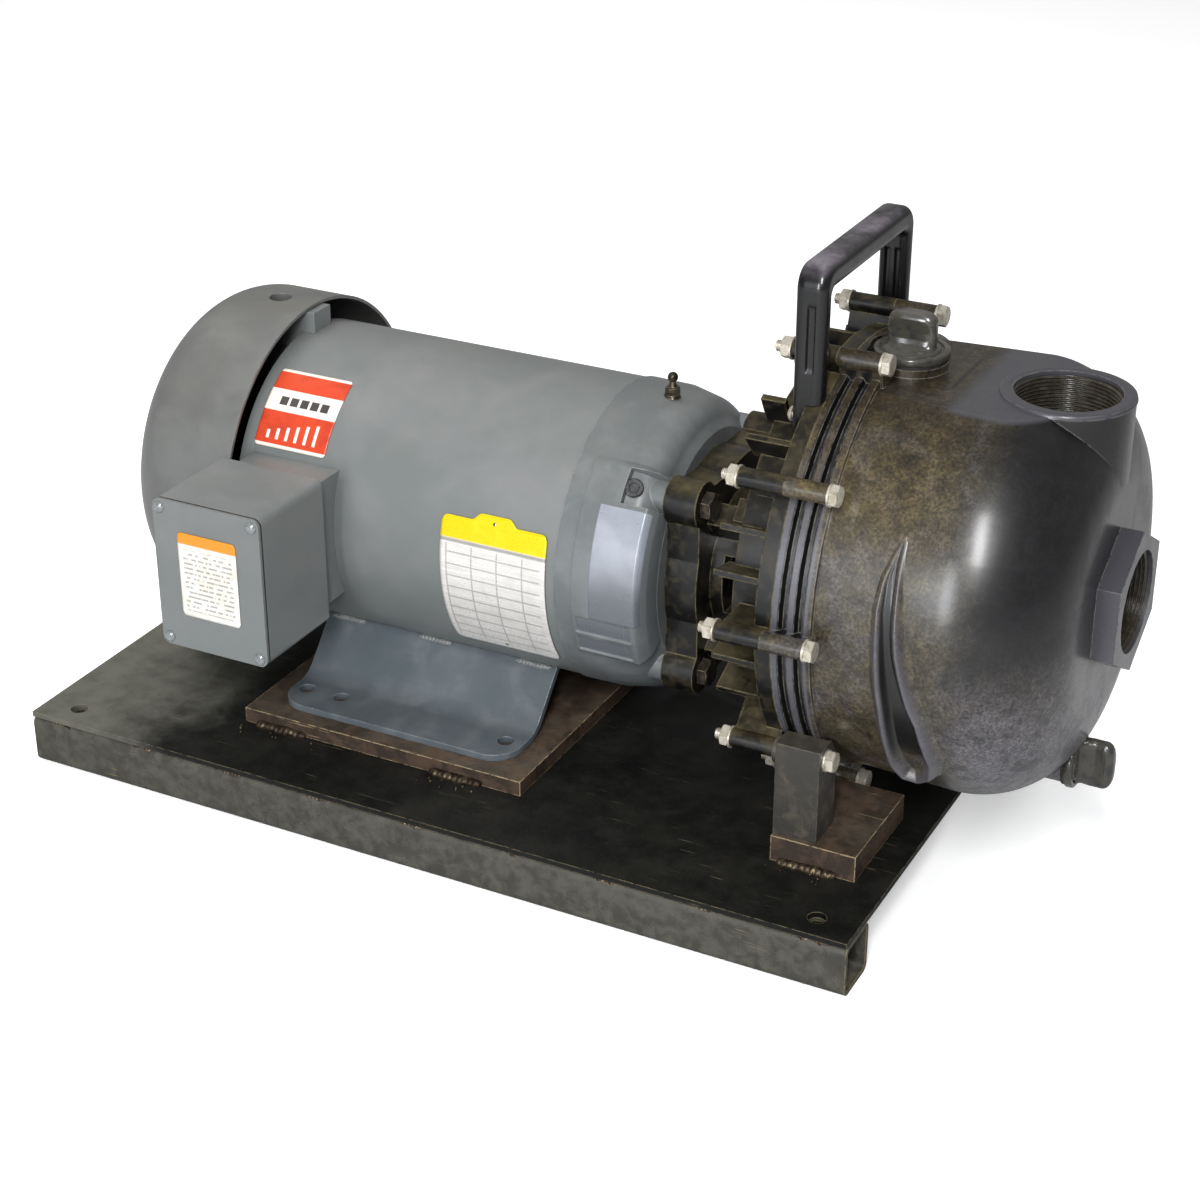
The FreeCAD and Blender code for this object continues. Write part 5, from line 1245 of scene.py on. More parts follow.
@dataclass
class SteelBase:
    """Deck, rails, riser and pads, with the beads that weld them."""

    half_length: float = 270.0
    half_width: float = 177.7
    deck: float = 35.25
    rail_top: float = 31.75
    stitch_length: float = 20.0
    stitch_count: int = 9
    riser_x: tuple[float, float] = (-146.0, 45.6)
    riser_y: float = 127.0
    pad_x: tuple[float, float] = (201.0, 251.5)
    pad_y: float = 121.6

    def stitches(self) -> list[Surface]:
        """Beads that join the deck to its rails, front and back.

        Returns:
            One surface a bead.
        """
        beads = []
        step = (2 * self.half_length - 2 * self.stitch_length) / (self.stitch_count - 1)
        for side in (-1, 1):
            for i in range(self.stitch_count):
                x = self.stitch_length / 2 - self.half_length + i * step
                y = side * (self.half_width - 3.2)
                beads.append(bead((x, y, 29.3), (x + self.stitch_length, y, 29.3), 2.4, 2.6,
                                  40 * side + i + 60, 1.0))
        return beads

    def fillets(self) -> list[Surface]:
        """Beads along the riser and the pads, in the corner with the deck.

        Returns:
            One surface a bead.
        """
        beads = []
        starts = ((self.riser_x[0] + 8, self.riser_y), (self.riser_x[0] + 130, self.riser_y),
                  (self.pad_x[0] + 4, self.pad_y))
        for number, (x, y) in enumerate(starts):
            for side in (-1, 1):
                edge = side * (y + 0.9)
                beads.append(bead((x, edge, self.deck + 0.8), (x + 36, edge, self.deck + 0.8),
                                  3.4, 3.4, 200 + number * 2 + side, 0.95))
        return beads

    def spatter(self) -> list[Surface]:
        """Small round drops of weld metal near the seat beads, where chance puts them.

        Returns:
            One surface a drop.
        """
        rng = np.random.default_rng(17)
        spots = []
        for x0, x1, y in ((self.riser_x[0], self.riser_x[0] + 60, -self.riser_y),
                          (self.riser_x[0] + 120, self.riser_x[1], -self.riser_y),
                          (self.pad_x[0], self.pad_x[1], -self.pad_y)):
            for _ in range(9):
                spots.append((rng.uniform(x0, x1), y - rng.uniform(4, 13), rng.uniform(0.5, 1.3)))
        drops = []
        for x, y, r in spots:
            a = np.linspace(0, np.pi, 5)
            drops.append(lathe(Place((x, y, self.deck + r * 0.35), (0, 0, 1), (1, 0, 0)),
                               list(-r * np.cos(a)), list(r * np.sin(a)), 8))
        return drops

    def build(self) -> None:
        """Dress the base and lay its beads."""
        dress("deck_paint", "base_plate")
        dress("rail_scale", "front_rail", "back_rail")
        dress("rusty_steel", "motor_riser", "pump_pad_front", "pump_pad_back")
        make_piece("deck_stitch_welds", self.stitches(), "weld_metal",
                   smoothing=Smoothing.ROUND, replaces=("base_welds",))
        make_piece("seat_weld_beads", self.fillets(), "weld_metal",
                   smoothing=Smoothing.ROUND, replaces=("seat_welds",))
        make_piece("weld_spatter", self.spatter(), "weld_metal",
                   smoothing=Smoothing.ROUND)


@dataclass
class ShellSheet:
    """A thin sheet bent round the motor shell, with round corners and an arched top."""

    name: str
    finish: str
    slot: str
    replaces: str
    x: tuple[float, float]
    angles: tuple[float, float]
    thickness: float
    corner: float = 3.0
    arch: float = 0.0
    shell: float = 91.05

    def build(self) -> None:
        """Make the sheet.

        Rows run from the top angle to the bottom one and columns along X. The top and
        bottom edges bend in by the corner's quarter circle at both ends, and the top rises
        by the arch over its middle third.
        """
        cols, rows = 49, 49
        x = np.linspace(*self.x, cols)
        radius = self.shell + self.thickness
        degree = np.degrees(1 / radius)
        near = np.clip(self.corner - np.minimum(x - self.x[0], self.x[1] - x), 0, self.corner)
        inset = self.corner - np.sqrt(self.corner ** 2 - near ** 2)
        mid = np.abs(x - np.mean(self.x))
        lift = self.arch * (1 - smoothstep(mid, 9.0, 15.0)) - self.arch
        top = self.angles[0] + (inset - lift) * degree
        bottom = self.angles[1] - inset * degree
        t = np.linspace(0, 1, rows)[:, None]
        angle = np.radians(top + (bottom - top) * t)
        points = np.stack([x + 0 * angle, radius * np.cos(angle),
                           MOTOR_Z + radius * np.sin(angle)], -1)
        u = (x - self.x[0]) / (self.x[1] - self.x[0]) + 0 * t
        v = 1 - (np.degrees(angle) - self.angles[0]) / (self.angles[1] - self.angles[0])
        make_piece(self.name, [Surface(points)], self.finish, closed=False,
                   uv=np.stack([u, v], -1), wall=self.thickness, smoothing=Smoothing.ROUND,
                   replaces=(self.replaces,))


@dataclass
class Motor:
    """Shell, bells, cover, conduit box and the small things fixed to them."""

    grease_x: float = 79.3
    grease_seat: float = 244.8
    sheets: list[ShellSheet] = field(default_factory=lambda: [
        ShellSheet("nameplate_sheet", "plate_print", "plate_aluminium", "nameplate", (-25, 44),
                   (158, 218), 0.6, corner=4.0, arch=4.5),
        ShellSheet("sticker_sheet", "sticker_print", "paper_label", "motor_sticker", (-160, -110),
                   (119, 151), 0.2, corner=2.0)])

    def grease_nipple(self) -> None:
        """A nipple: coned foot, hexagon, neck and ball, turned about Z."""
        place = Place((self.grease_x, 0, self.grease_seat), (0, 0, 1), (1, 0, 0))
        foot = lathe(place, [-6, -6, 0, 0.4, 1.6, 2.4, 2.4], [0, 3, 3, 4.9, 4.4, 3.6, 0], 36)
        a = np.linspace(-1.1, np.pi / 2, 10)
        heights = [6.2, 6.2, 7.4, 8.6, 9.6] + list(12.5 + 3.1 * np.sin(a))
        radii = [0, 3.2, 2.5, 2.1, 1.7] + list(3.1 * np.cos(a))
        make_piece("grease_nipple", [foot, hex_block(place, 2.0, 6.6, 7.6, both=True),
                                     lathe(place, heights, radii, 36)],
                   "dark_steel", replaces=("grease_fitting",))

    def bell_radius(self, x: np.ndarray) -> np.ndarray:
        """Radius of the front bell's skin.

        Args:
            x: Distances along X.

        Returns:
            The radius at each.
        """
        knee = np.clip((x - 89.6) / 12.0, 0, 1)
        r = np.interp(x, [50, 74, 89.6, 101.6, 105.6], [92, 91.5, 88, 77, 72])
        return r + 2.2 * 4 * knee * (1 - knee)

    def bell_pad(self) -> None:
        """The front bell's raised ledge, its band painted bright as a sheen, and two sunk frames below
        that.

        The radius is the ledge's inside its outline and dips under the bell's skin outside
        it. Frames are sunk by 1.1 mm and have a raised lip, a round channel is cut above them
        along X with a dark disc at its end for a plug and the pocket's painted shadow, and
        the band stands 0.3 mm proud of the ledge.
        """
        x = np.append(np.linspace(58, 105.3, 190), 105.4)[None, :]
        a = np.linspace(127, 207.5, 260)[:, None]
        skin = self.bell_radius(x) - 0.6
        angle = np.radians(a) + 0 * x

        def window(x0: float, x1: float, a0: float, a1: float) -> np.ndarray:
            """Mask of a rectangle of X and angle, with edges a millimetre wide.

            Args:
                x0: Start along X.
                x1: End along X.
                a0: Start angle.
                a1: End angle.

            Returns:
                1 inside and 0 outside, for each point of the sheet.
            """
            along = smoothstep(x, x0 - 0.5, x0 + 0.5) * (1 - smoothstep(x, x1 - 0.5, x1 + 0.5))
            around = smoothstep(a, a0 - 0.35, a0 + 0.35) * (1 - smoothstep(a, a1 - 0.35, a1 + 0.35))
            return along * around

        top = 93.4 - 8.5 * (np.clip(x - 100.4, 0, 5) / 5) ** 1.6

        def sheet(name: str, r: np.ndarray, finish: str) -> None:
            """Make one sheet from its radii.

            Args:
                name: Name of the piece.
                r: Radius at each point.
                finish: Name of its material.
            """
            points = np.stack([x + 0 * angle, r * np.cos(angle), MOTOR_Z + r * np.sin(angle)], -1)
            make_piece(name, [Surface(points)], finish, closed=False,
                       smoothing=Smoothing.ROUND)

        ledge = skin + (top - skin) * window(61, 105.8, 120, 205.5) * smoothstep(a, 126.5, 131.5)
        off = np.radians(a - 137.5)
        inside = np.clip(9.5 ** 2 - (84.0 * np.sin(off)) ** 2, 0, None)
        floor = np.where(inside > 0, 84.0 * np.cos(off) - np.sqrt(inside), 200.0)
        ledge = np.where((x > 84) & (floor < ledge), np.maximum(floor, skin), ledge)
        ledge = np.where(x > 105.35, 71.0, ledge)
        framed = ledge
        for low, high in ((188.6, 194.8), (197.2, 203.4)):
            framed = framed - 1.1 * window(64, 97.5, low, high) * (ledge > 92)
            framed = framed + 0.7 * window(93, 94.5, low, high - 1.5)
            framed = framed + 0.45 * window(62.5, 98.5, high, high + 1.0)
        # A dark disc at the channel's end: a plug, and the pocket's painted shadow in place of a deeper
        # cut.
        out_y, out_z = math.cos(math.radians(137.5)), math.sin(math.radians(137.5))
        place = Place((88.3, 91.0 * out_y, MOTOR_Z + 91.0 * out_z),
                      (0.42, 0.907 * out_y, 0.907 * out_z), (-0.907, 0.42 * out_y, 0.42 * out_z))
        make_piece("bell_pocket_shadow_disc", [lathe(place, [-1.5, -1.5, 0.0, 0.3, 0.3, 0.0, 0.0],
                                               [0, 5.4, 5.4, 4.9, 2.9, 2.6, 0], 32)], "seal_carbon")
        sheet("bell_ledge", framed, "bell_enamel")
        # The band's sheet carries the painted sheen.
        sheet("bell_band", ledge - 0.7 + 1.0 * window(72.5, 103.6, 145.6, 188.0), "bell_band")

    def rivets(self) -> None:
        """Two domed rivets on the nameplate."""
        items = []
        for angle in (161.0, 215.0):
            out_y, out_z = math.cos(math.radians(angle)), math.sin(math.radians(angle))
            place = Place((9.5, 91.5 * out_y, MOTOR_Z + 91.5 * out_z), (0, out_y, out_z), (1, 0, 0))
            a = np.linspace(0, np.pi / 2, 6)
            items.append(lathe(place, [0, 0.1] + list(0.1 + 0.85 * np.sin(a)),
                               [0, 1.7] + list(1.7 * np.cos(a)), 20))
        make_piece("nameplate_rivet_heads", items, "bare_steel",
                   replaces=("nameplate_rivets",))

    def box_label(self) -> None:
        """Label on the box lid: a flat sheet with round corners."""
        x0, x1, z0, z1, corner = -148.5, -108.5, 130.5, 183.5, 2.5
        x = np.linspace(x0, x1, 41)
        near = np.clip(corner - np.minimum(x - x0, x1 - x), 0, corner)
        inset = corner - np.sqrt(corner ** 2 - near ** 2)
        t = np.linspace(0, 1, 41)[:, None]
        z = (z1 - inset) + ((z0 + inset) - (z1 - inset)) * t
        points = np.stack([x + 0 * z, -175.3 + 0 * z, z], -1)
        uv = np.stack([(x - x0) / (x1 - x0) + 0 * z, (z - z0) / (z1 - z0)], -1)
        make_piece("box_label_sheet", [Surface(points)], "box_label_print",
                   closed=False, uv=uv, wall=0.28, replaces=("box_label",))

    def foot_beads(self) -> None:
        """Beads that join each foot to the shell."""
        beads = []
        for side in (-1, 1):
            for number, (x0, x1) in enumerate(((-128, -104), (-66, -42), (2, 27))):
                y = side * 52.6
                beads.append(bead((x0, y, 78.9), (x1, y, 78.9), 2.3, 2.4, 310 + number + side))
        make_piece("foot_weld_beads", beads, "motor_enamel",
                   smoothing=Smoothing.ROUND)

    def box_screws(self) -> None:
        """Four pan-head screws of the lid, each with a cross slot's worth of dish."""
        items = []
        for x in (-160.0, -97.0):
            for z in (113.5, 196.5):
                place = Place((x, -175.0, z), (0, -1, 0), (1, 0, 0))
                a = np.linspace(0, np.pi / 2, 6)
                heights = [-14, -14, 0.1] + list(0.1 + 1.8 * np.sin(a)) + [1.5]
                radii = [0, 1.95, 3.6] + list(3.6 * np.cos(a) ** 0.7) + [0]
                radii[-2] = 0.9
                items.append(lathe(place, heights, radii, 28))
        make_piece("box_lid_screw_heads", items, "screw_glint",
                   replaces=("box_lid_screws",))

    def build(self) -> None:
        """Dress the motor and add its pieces."""
        dress("motor_enamel", "motor_shell", "conduit_box", "box_lid", "rear_end_bell")
        dress("cover_enamel", "fan_cover")
        dress("foot_enamel", "motor_foot_front", "motor_foot_back")
        dress("bell_enamel", "front_end_bell")
        dress("lamination_steel", "stator_core", "rotor_core")
        dress("copper_windings", "stator_windings")
        dress("zinc_steel", "through_bolts")
        dress("dark_steel", "fan_cover_screws")
        dress("bearing_steel", "bearing_outer_rings", "bearing_inner_rings", "bearing_balls")
        dress("bare_steel", "motor_shaft")
        dress("rubber_seal", "box_gasket", "shaft_slinger")
        dress("fan_plastic", "cooling_fan")
        for sheet in self.sheets:
            sheet.build()
        self.grease_nipple()
        self.bell_pad()
        self.rivets()
        self.box_label()
        self.box_screws()
        self.foot_beads()


@dataclass
class CarryHandle:
    """Moulded handle: a rounded section carried up one leg, over the grip and down."""

    half_width: float = 65.0
    leg: float = 11.0
    foot_z: float = 267.6
    top: float = 361.0
    grip: float = 15.0
    back: float = 179.3
    front: float = 197.3
    step_x: float = 188.0
    corner: float = 13.0
    inner_corner: float = 3.5
    edge: float = 5.3

    def paths(self) -> tuple[np.ndarray, np.ndarray]:
        """Outer and inner outline of one half and its mirror image, point for point.

        Returns:
            Two arrays of (y, z), from the foot of the near leg to that of the far leg.
        """
        half, inner = self.half_width, self.half_width - self.leg
        under = self.top - self.grip
        legs = np.concatenate([np.linspace(0, 0.16, 6), np.linspace(0.17, 0.32, 30),
                               np.linspace(0.33, 1, 60)])
        turn = np.linspace(0, np.pi / 2, 14)[1:-1]
        over = np.linspace(0, 1, 24)
        leg_o = np.stack([-half + 0 * legs,
                          self.foot_z + (self.top - self.corner - self.foot_z) * legs], -1)
        leg_i = np.stack([-inner + 0 * legs,
                          self.foot_z + (under - self.inner_corner - self.foot_z) * legs], -1)
        arc_o = np.stack([-half + self.corner * (1 - np.cos(turn)),
                          self.top - self.corner * (1 - np.sin(turn))], -1)
        arc_i = np.stack([-inner + self.inner_corner * (1 - np.cos(turn)),
                          under - self.inner_corner * (1 - np.sin(turn))], -1)
        top_o = np.stack([(self.corner - half) * (1 - over), self.top + 0 * over], -1)
        top_i = np.stack([(self.inner_corner - inner) * (1 - over), under + 0 * over], -1)
        outer = np.vstack([leg_o, arc_o, top_o])
        inside = np.vstack([leg_i, arc_i, top_i])
        flip = np.array([-1.0, 1.0])
        return (np.vstack([outer, outer[-2::-1] * flip]), np.vstack([inside, inside[-2::-1] * flip]))

    def build(self) -> None:
        """Make the handle.

        A point is the middle of outer and inner outline, plus u times half their span, plus v
        along X. (u, v) runs round a rectangle with corners of a fixed radius. Legs have a
        sunk slot outside and two inside, and stop at the flange's rim in front.
        """
        outer, inside = self.paths()
        span = outer - inside
        half_u = np.linalg.norm(span, axis=1)[:, None] / 2
        way = span / (2 * half_u)
        middle = (outer + inside) / 2
        half_v = (self.front - self.back) / 2
        flat_v, flat_u = np.linspace(-1, 1, 25), np.linspace(-1, 1, 7)
        quarter = np.linspace(0, np.pi / 2, 8)[1:-1]
        sign_u = np.concatenate([np.ones(25), np.ones(6), flat_u[::-1], -np.ones(6), -np.ones(25),
                                 -np.ones(6), flat_u, np.ones(6)])
        sign_v = np.concatenate([flat_v, np.ones(6), np.ones(7), np.ones(6), flat_v[::-1],
                                 -np.ones(6), -np.ones(7), -np.ones(6)])
        arc_u = np.concatenate([np.ones(25), np.cos(quarter), np.zeros(7), -np.sin(quarter),
                                -np.ones(25), -np.cos(quarter), np.zeros(7), np.sin(quarter)])
        arc_v = np.concatenate([np.zeros(25), np.sin(quarter), np.ones(7), np.cos(quarter),
                                np.zeros(25), -np.sin(quarter), -np.ones(7), -np.cos(quarter)])
        u = sign_u * (half_u - self.edge) + self.edge * arc_u
        v = sign_v * (half_v - self.edge) + self.edge * arc_v + 0 * half_u
        z_row = middle[:, 1:2]
        leg_row = (np.abs(middle[:, 0:1]) > self.half_width - self.leg) * 1.0
        high = smoothstep(z_row, 301, 303.5) * (1 - smoothstep(z_row, 336, 338.5)) * leg_row
        slot = high * (1 - smoothstep(np.abs(v - 1.0), 1.4, 2.8))
        ribs = high * (1 - smoothstep(np.abs(np.abs(v) - 3.6), 1.6, 2.3))
        outside = (arc_u > 0.99) & (np.abs(arc_v) < 0.01)
        within = (arc_u < -0.99) & (np.abs(arc_v) < 0.01)
        u = u - 1.6 * slot * outside + 2.2 * ribs * within
        y = middle[:, 0:1] + u * way[:, 0:1]
        z = middle[:, 1:2] + u * way[:, 1:2]
        x = self.back + half_v + v
        rim = PUMP_Z + np.sqrt(124.0 ** 2 - np.minimum(np.abs(y), 120) ** 2) + 0.4
        x = np.where(z < rim, np.minimum(x, self.step_x - 0.1), x)
        points = np.stack([x, y, z], -1)
        ends = [np.repeat(points[i].mean(0)[None, None], points.shape[1], 1) for i in (0, -1)]
        points = np.concatenate([ends[0], points, ends[1]])
        make_piece("carry_handle", [Surface(points, ring_cols=True)], "handle_gloss",
                   smoothing=Smoothing.CRISP, replaces=("handle",))


@dataclass
class DriveBracket:
    """Cast bracket between motor and pump, its bolts and the carrying handle."""

    bolt_circle: float = 74.6
    head_start: float = 125.6
    head_flats: float = 15.0
    head_height: float = 6.5
    handle: CarryHandle = field(default_factory=CarryHandle)

    def bolts(self) -> None:
        """Four hexagon bolts with a washer face, through the bracket into the bell."""
        items = []
        for k in range(4):
            a = math.radians(45 + 90 * k)
            place = Place((0, self.bolt_circle * math.cos(a), MOTOR_Z + self.bolt_circle * math.sin(a)))
            items.append(lathe(place, [87.6, 87.6, self.head_start, self.head_start],
                               [0, 4.75, 4.75, 0], 28))
            items.append(lathe(place, [self.head_start + 0.02, self.head_start + 0.02,
                                       self.head_start + 0.6, self.head_start + 0.6],
                               [0, 7.1, 7.1, 0], 36))
            items.append(hex_block(place, self.head_start + 0.5, self.head_start + self.head_height,
                                   self.head_flats))
        make_piece("face_bolt_set", items, "dark_steel", replaces=("bracket_bolts",))

    def handle_screws(self) -> None:
        """Two round-head screws that hold the handle."""
        items = []
        for y in (-59.5, 59.5):
            place = Place((self.handle.back, y, 276.0), (-1, 0, 0), (0, 1, 0))
            a = np.linspace(0, np.pi / 2, 7)
            items.append(lathe(place, [-16, -16, 0, 0] + list(3.1 * np.sin(a)),
                               [0, 2.45, 2.45, 4.4] + list(4.4 * np.cos(a)), 32))
        make_piece("handle_screw_heads", items, "zinc_steel",
                   replaces=("handle_screws",))

    def build(self) -> None:
        """Dress the bracket and add its pieces."""
        dress("bracket_iron", "bracket")
        self.bolts()
        self.handle_screws()
        self.handle.build()


@dataclass
class TieBolts:
    """Ten long bolts round the pump's flange, with their nuts."""

    circle: float = 134.0
    count: int = 10
    radius: float = 3.175
    flats: float = 11.1
    head: float = 4.6
    nut: float = 5.2
    washer: float = 1.2
    back: float = 171.0
    stub: float = 4.0
    boss_front: float = 221.5
    leg_front: float = 226.5
    leg_bolts: tuple[int, int] = (6, 9)

    def build(self) -> None:
        """Make shanks with a threaded end, chamfered heads, and nuts.

        The thread is a shank whose radius dips by a sine of the height less the turn.
        """
        bolts, nuts = [], []
        steps = 36
        turn = np.linspace(0, 2 * np.pi, steps, endpoint=False)
        for k in range(self.count):
            a = math.radians(36 * k)
            place = Place((0, self.circle * math.cos(a), PUMP_Z + self.circle * math.sin(a)))
            front = self.leg_front if k in self.leg_bolts else self.boss_front
            start = self.back - self.washer - self.nut - self.stub
            rows = np.linspace(start, start + self.stub, 26)
            wave = 0.28 * (1 + np.cos(2 * np.pi * (rows[:, None] / 1.25) - turn))
            thread = (self.radius - wave) * np.minimum(1, 0.8 + (rows[:, None] - start) / 3)
            heights = [start] + list(rows) + [front + self.washer]
            radii = np.vstack([np.zeros(steps), thread, np.full(steps, self.radius)])
            heights.append(front + self.washer)
            radii = np.vstack([radii, np.zeros(steps)])
            bolts.append(lathe(place, heights, radii, steps))
            head_x = front + self.washer
            bolts.append(hex_block(place, head_x + 0.01, head_x + self.head, self.flats))
            nut_x = self.back - self.washer - self.nut
            nuts.append(hex_block(place, nut_x, nut_x + self.nut - 0.01, self.flats, both=True,
                                  hole=self.radius + 0.02))
        make_piece("tie_bolt_set", bolts, "zinc_steel", replaces=("tie_bolts",))
        make_piece("tie_nut_set", nuts, "zinc_steel", replaces=("tie_nuts",))


@dataclass
class WingPlug:
    """A screw plug: threaded stem, rounded collar and a scooped wing to turn it by."""

    name: str
    body: str
    replaces: str
    place: Place
    collar: float
    collar_height: float
    stem: float
    stem_length: float
    wing: tuple[float, float, float]
    seal: float = 1.6

    def build(self) -> None:
        """Make the plug.

        The wing is a stack of rounded rectangles: a point at height h is (L(h) C, T(h) S),
        where C and S are the cosine and sine to a power below 1. L swells and then closes
        as a quarter circle, and T narrows to a waist and swells to a bead on top.
        """
        top = self.seal + self.collar_height
        c = self.collar
        rim = np.linspace(0, np.pi / 2, 6)
        heights = [-self.stem_length] + list(np.linspace(-self.stem_length, 0, 30)) + [self.seal]
        turn = np.linspace(0, 2 * np.pi, 64, endpoint=False)
        rows = np.linspace(-self.stem_length, 0, 30)
        thread = self.stem - 0.4 * (1 + np.cos(2 * np.pi * rows[:, None] / 2.2 - turn))
        radii = [np.zeros(64)] + list(thread) + [np.full(64, self.stem)]
        profile = [(self.seal, c - 0.8), (self.seal + 0.8, c)]
        profile += [(top - 1.4 + 1.4 * math.sin(t), c - 1.4 + 1.4 * math.cos(t)) for t in rim]
        profile += [(top, c * 0.84), (top - 1.1, c * 0.81), (top - 1.1, c * 0.76),
                    (top + 0.4, c * 0.72), (top + 0.9, 0.0)]
        heights += [h for h, r in profile]
        radii += [np.full(64, r) for h, r in profile]
        collar = lathe(self.place, heights, np.array(radii), 64)
        length, thick, height = self.wing[0] / 2, self.wing[1] / 2, self.wing[2]
        low = np.linspace(0, 1, 22)
        body_h = low * (height - 6.0)
        waist = np.interp(low, [0, 0.12, 0.35, 0.65, 0.9, 1.0], [1.5, 1.0, 0.74, 0.72, 0.9, 1.0])
        swell = np.interp(low, [0, 0.15, 0.5, 1.0], [0.97, 0.95, 1.0, 0.97])
        cap = np.linspace(0, np.pi / 2, 14)[1:]
        h = np.concatenate([body_h, height - 6.0 + 6.0 * np.sin(cap)])
        long = length * np.concatenate([swell, 0.97 * np.cos(cap) ** 0.55])
        wide = thick * np.concatenate([waist, np.cos(cap) ** 0.6])
        a = np.linspace(0, 2 * np.pi, 72, endpoint=False)
        cos_, sin_ = np.cos(a), np.sin(a)
        s = long[:, None] * np.sign(cos_) * np.abs(cos_) ** 0.55
        t = wide[:, None] * np.sign(sin_) * np.abs(sin_) ** 0.6
        t = t * (1 - 0.16 * np.exp(-(s / (0.6 * length)) ** 2) * (h < height - 5)[:, None])
        wing = Surface(self.place.points(top + h[:, None] + 0 * s, s, t), ring_cols=True)
        foot = Surface(self.place.points(top - 0.3 + 0 * s[:1], s[:1] * 0, t[:1] * 0), ring_cols=True)
        wing = Surface(np.concatenate([foot.points, wing.points]), ring_cols=True)
        make_piece(self.name, [collar, wing], "plug_gloss", body=self.body,
                   smoothing=Smoothing.ROUND, replaces=(self.replaces,))


@dataclass
class PumpHead:
    """Casing with its ports, ridges and legs, what turns and swings inside, and the plugs."""

    discharge: Point = (311.0, 0.0, 292.0)
    suction: Point = (359.7, 0.0, PUMP_Z)
    port: float = 29.0
    pitch: float = 2.21
    bolts: TieBolts = field(default_factory=TieBolts)
    left: tuple[tuple[float, float], ...] = (
        (262.5, 149.5), (259.3, 154.4), (256.2, 160.6), (255.4, 168.2), (257.2, 177.6), (259.1, 186.9),
        (260.9, 194.2), (261.9, 205.6), (262.8, 215.0), (266.5, 221.5))
    right: tuple[tuple[float, float], ...] = (
        (263.0, 150.6), (263.4, 156.2), (264.4, 162.0), (266.6, 172.7), (268.9, 178.5), (272.2, 183.8),
        (276.8, 190.7), (281.5, 195.9), (286.6, 209.5), (283.0, 217.5), (275.0, 221.8), (266.5, 221.5))

    def threads(self, place: Place, depth: float, name: str) -> None:
        """Pipe thread in a port.

        The radius is the port's less 1.3 mm times a rounded triangle wave of the depth plus
        the turn over the pitch, and it tapers by one in thirty-two on the diameter.

        Args:
            place: Frame at the port's mouth, along its axis outwards.
            depth: Depth of the thread.
            name: Name of the piece.
        """
        steps = 96
        rows = np.arange(0, depth, self.pitch / 9)
        turn = np.linspace(0, 1, steps, endpoint=False)
        phase = (rows[:, None] / self.pitch + turn) % 1
        wave = 1 - np.abs(2 * phase - 1)
        radius = self.port + 0.05 - 1.3 * smoothstep(wave, 0.1, 0.95) - rows[:, None] / 64
        fade = smoothstep(rows[:, None], 0.6, 3.0)
        radius = (self.port + 0.05) * (1 - fade) + radius * fade
        heights = list(-1.0 - rows) + [-depth - 0.5, -0.9]
        radii = np.vstack([radius, np.full((2, steps), self.port + 0.5)])
        surface = lathe(place, heights, radii, steps)
        surface.ring_rows = True
        make_piece(name, [surface], "thread_plastic", smoothing=Smoothing.ROUND)

    def rim(self) -> None:
        """Rounded rim of the discharge port, with a light chamfer to the bore."""
        x, y, z = self.discharge
        place = Place((x, y, z), (0, 0, 1), (1, 0, 0))
        profile = [(-2.2, 36.6), (-1.3, 36.4), (-0.5, 36.2), (0.1, 35.7), (0.3, 35.0), (0.3, 31.6),
                   (0.1, 31.0), (-1.4, 29.5), (-2.2, 29.2), (-2.2, 31.0)]
        surface = lathe(place, [h for h, r in profile], [r for h, r in profile], 96)
        surface.ring_rows = True
        make_piece("discharge_rim", [surface], "casing_plastic",
                   smoothing=Smoothing.ROUND)

    def gills(self) -> None:
        """Two raised ridges that part and meet again on the casing's near side.

        Over a patch of X and angle, the height is a bell curve of the distance to the nearer
        ridge line. It grows from the apex downwards, and dips under the skin away from it. The
        sheet's coordinates hold that height, and how far between the lines a point lies.
        """
        x = np.linspace(246, 296, 150)[None, :]
        a = np.linspace(146, 227, 260)[:, None]
        arc = 123.0 * np.radians(a)
        grid = np.stack([x + 0 * a, arc + 0 * x], -1)
        best = np.full(grid.shape[:2], 1e9)
        for line in (self.left, self.right):
            path = np.array([(px, 123.0 * math.radians(pa)) for px, pa in line])
            for p, q in zip(path[:-1], path[1:]):
                way = q - p
                t = np.clip(((grid - p) @ way) / (way @ way), 0, 1)
                best = np.minimum(best, np.linalg.norm(grid - p - t[..., None] * way, axis=-1))
        grow = smoothstep(a, 148.5, 196.0) + 0 * x
        height = (0.6 + 5.8 * grow) * np.exp(-(best / (2.0 + 1.5 * grow)) ** 2)
        inside = np.interp(a[:, 0], [p[1] for p in self.left], [p[0] for p in self.left])[:, None]
        outer = self.right[:9]
        beyond = np.interp(a[:, 0], [p[1] for p in outer], [p[0] for p in outer])[:, None]
        angle = np.radians(a) + 0 * x
        deep = smoothstep(x, inside + 0.8, inside + 2.4) * (1 - smoothstep(x, beyond - 3.4, beyond - 1.2))
        deep = deep * smoothstep(a, 151, 154) * (1 - smoothstep(a, 206, 216))
        r = self.skin(x) - 0.45 + np.maximum(height * 1.1, 0.8 * deep)
        points = np.stack([x + 0 * angle, r * np.cos(angle), PUMP_Z + r * np.sin(angle)], -1)
        uv = np.stack([height / height.max(), deep], -1)
        make_piece("casing_ridges", [Surface(points)], "ridge_plastic",
                   closed=False, uv=uv, smoothing=Smoothing.ROUND)

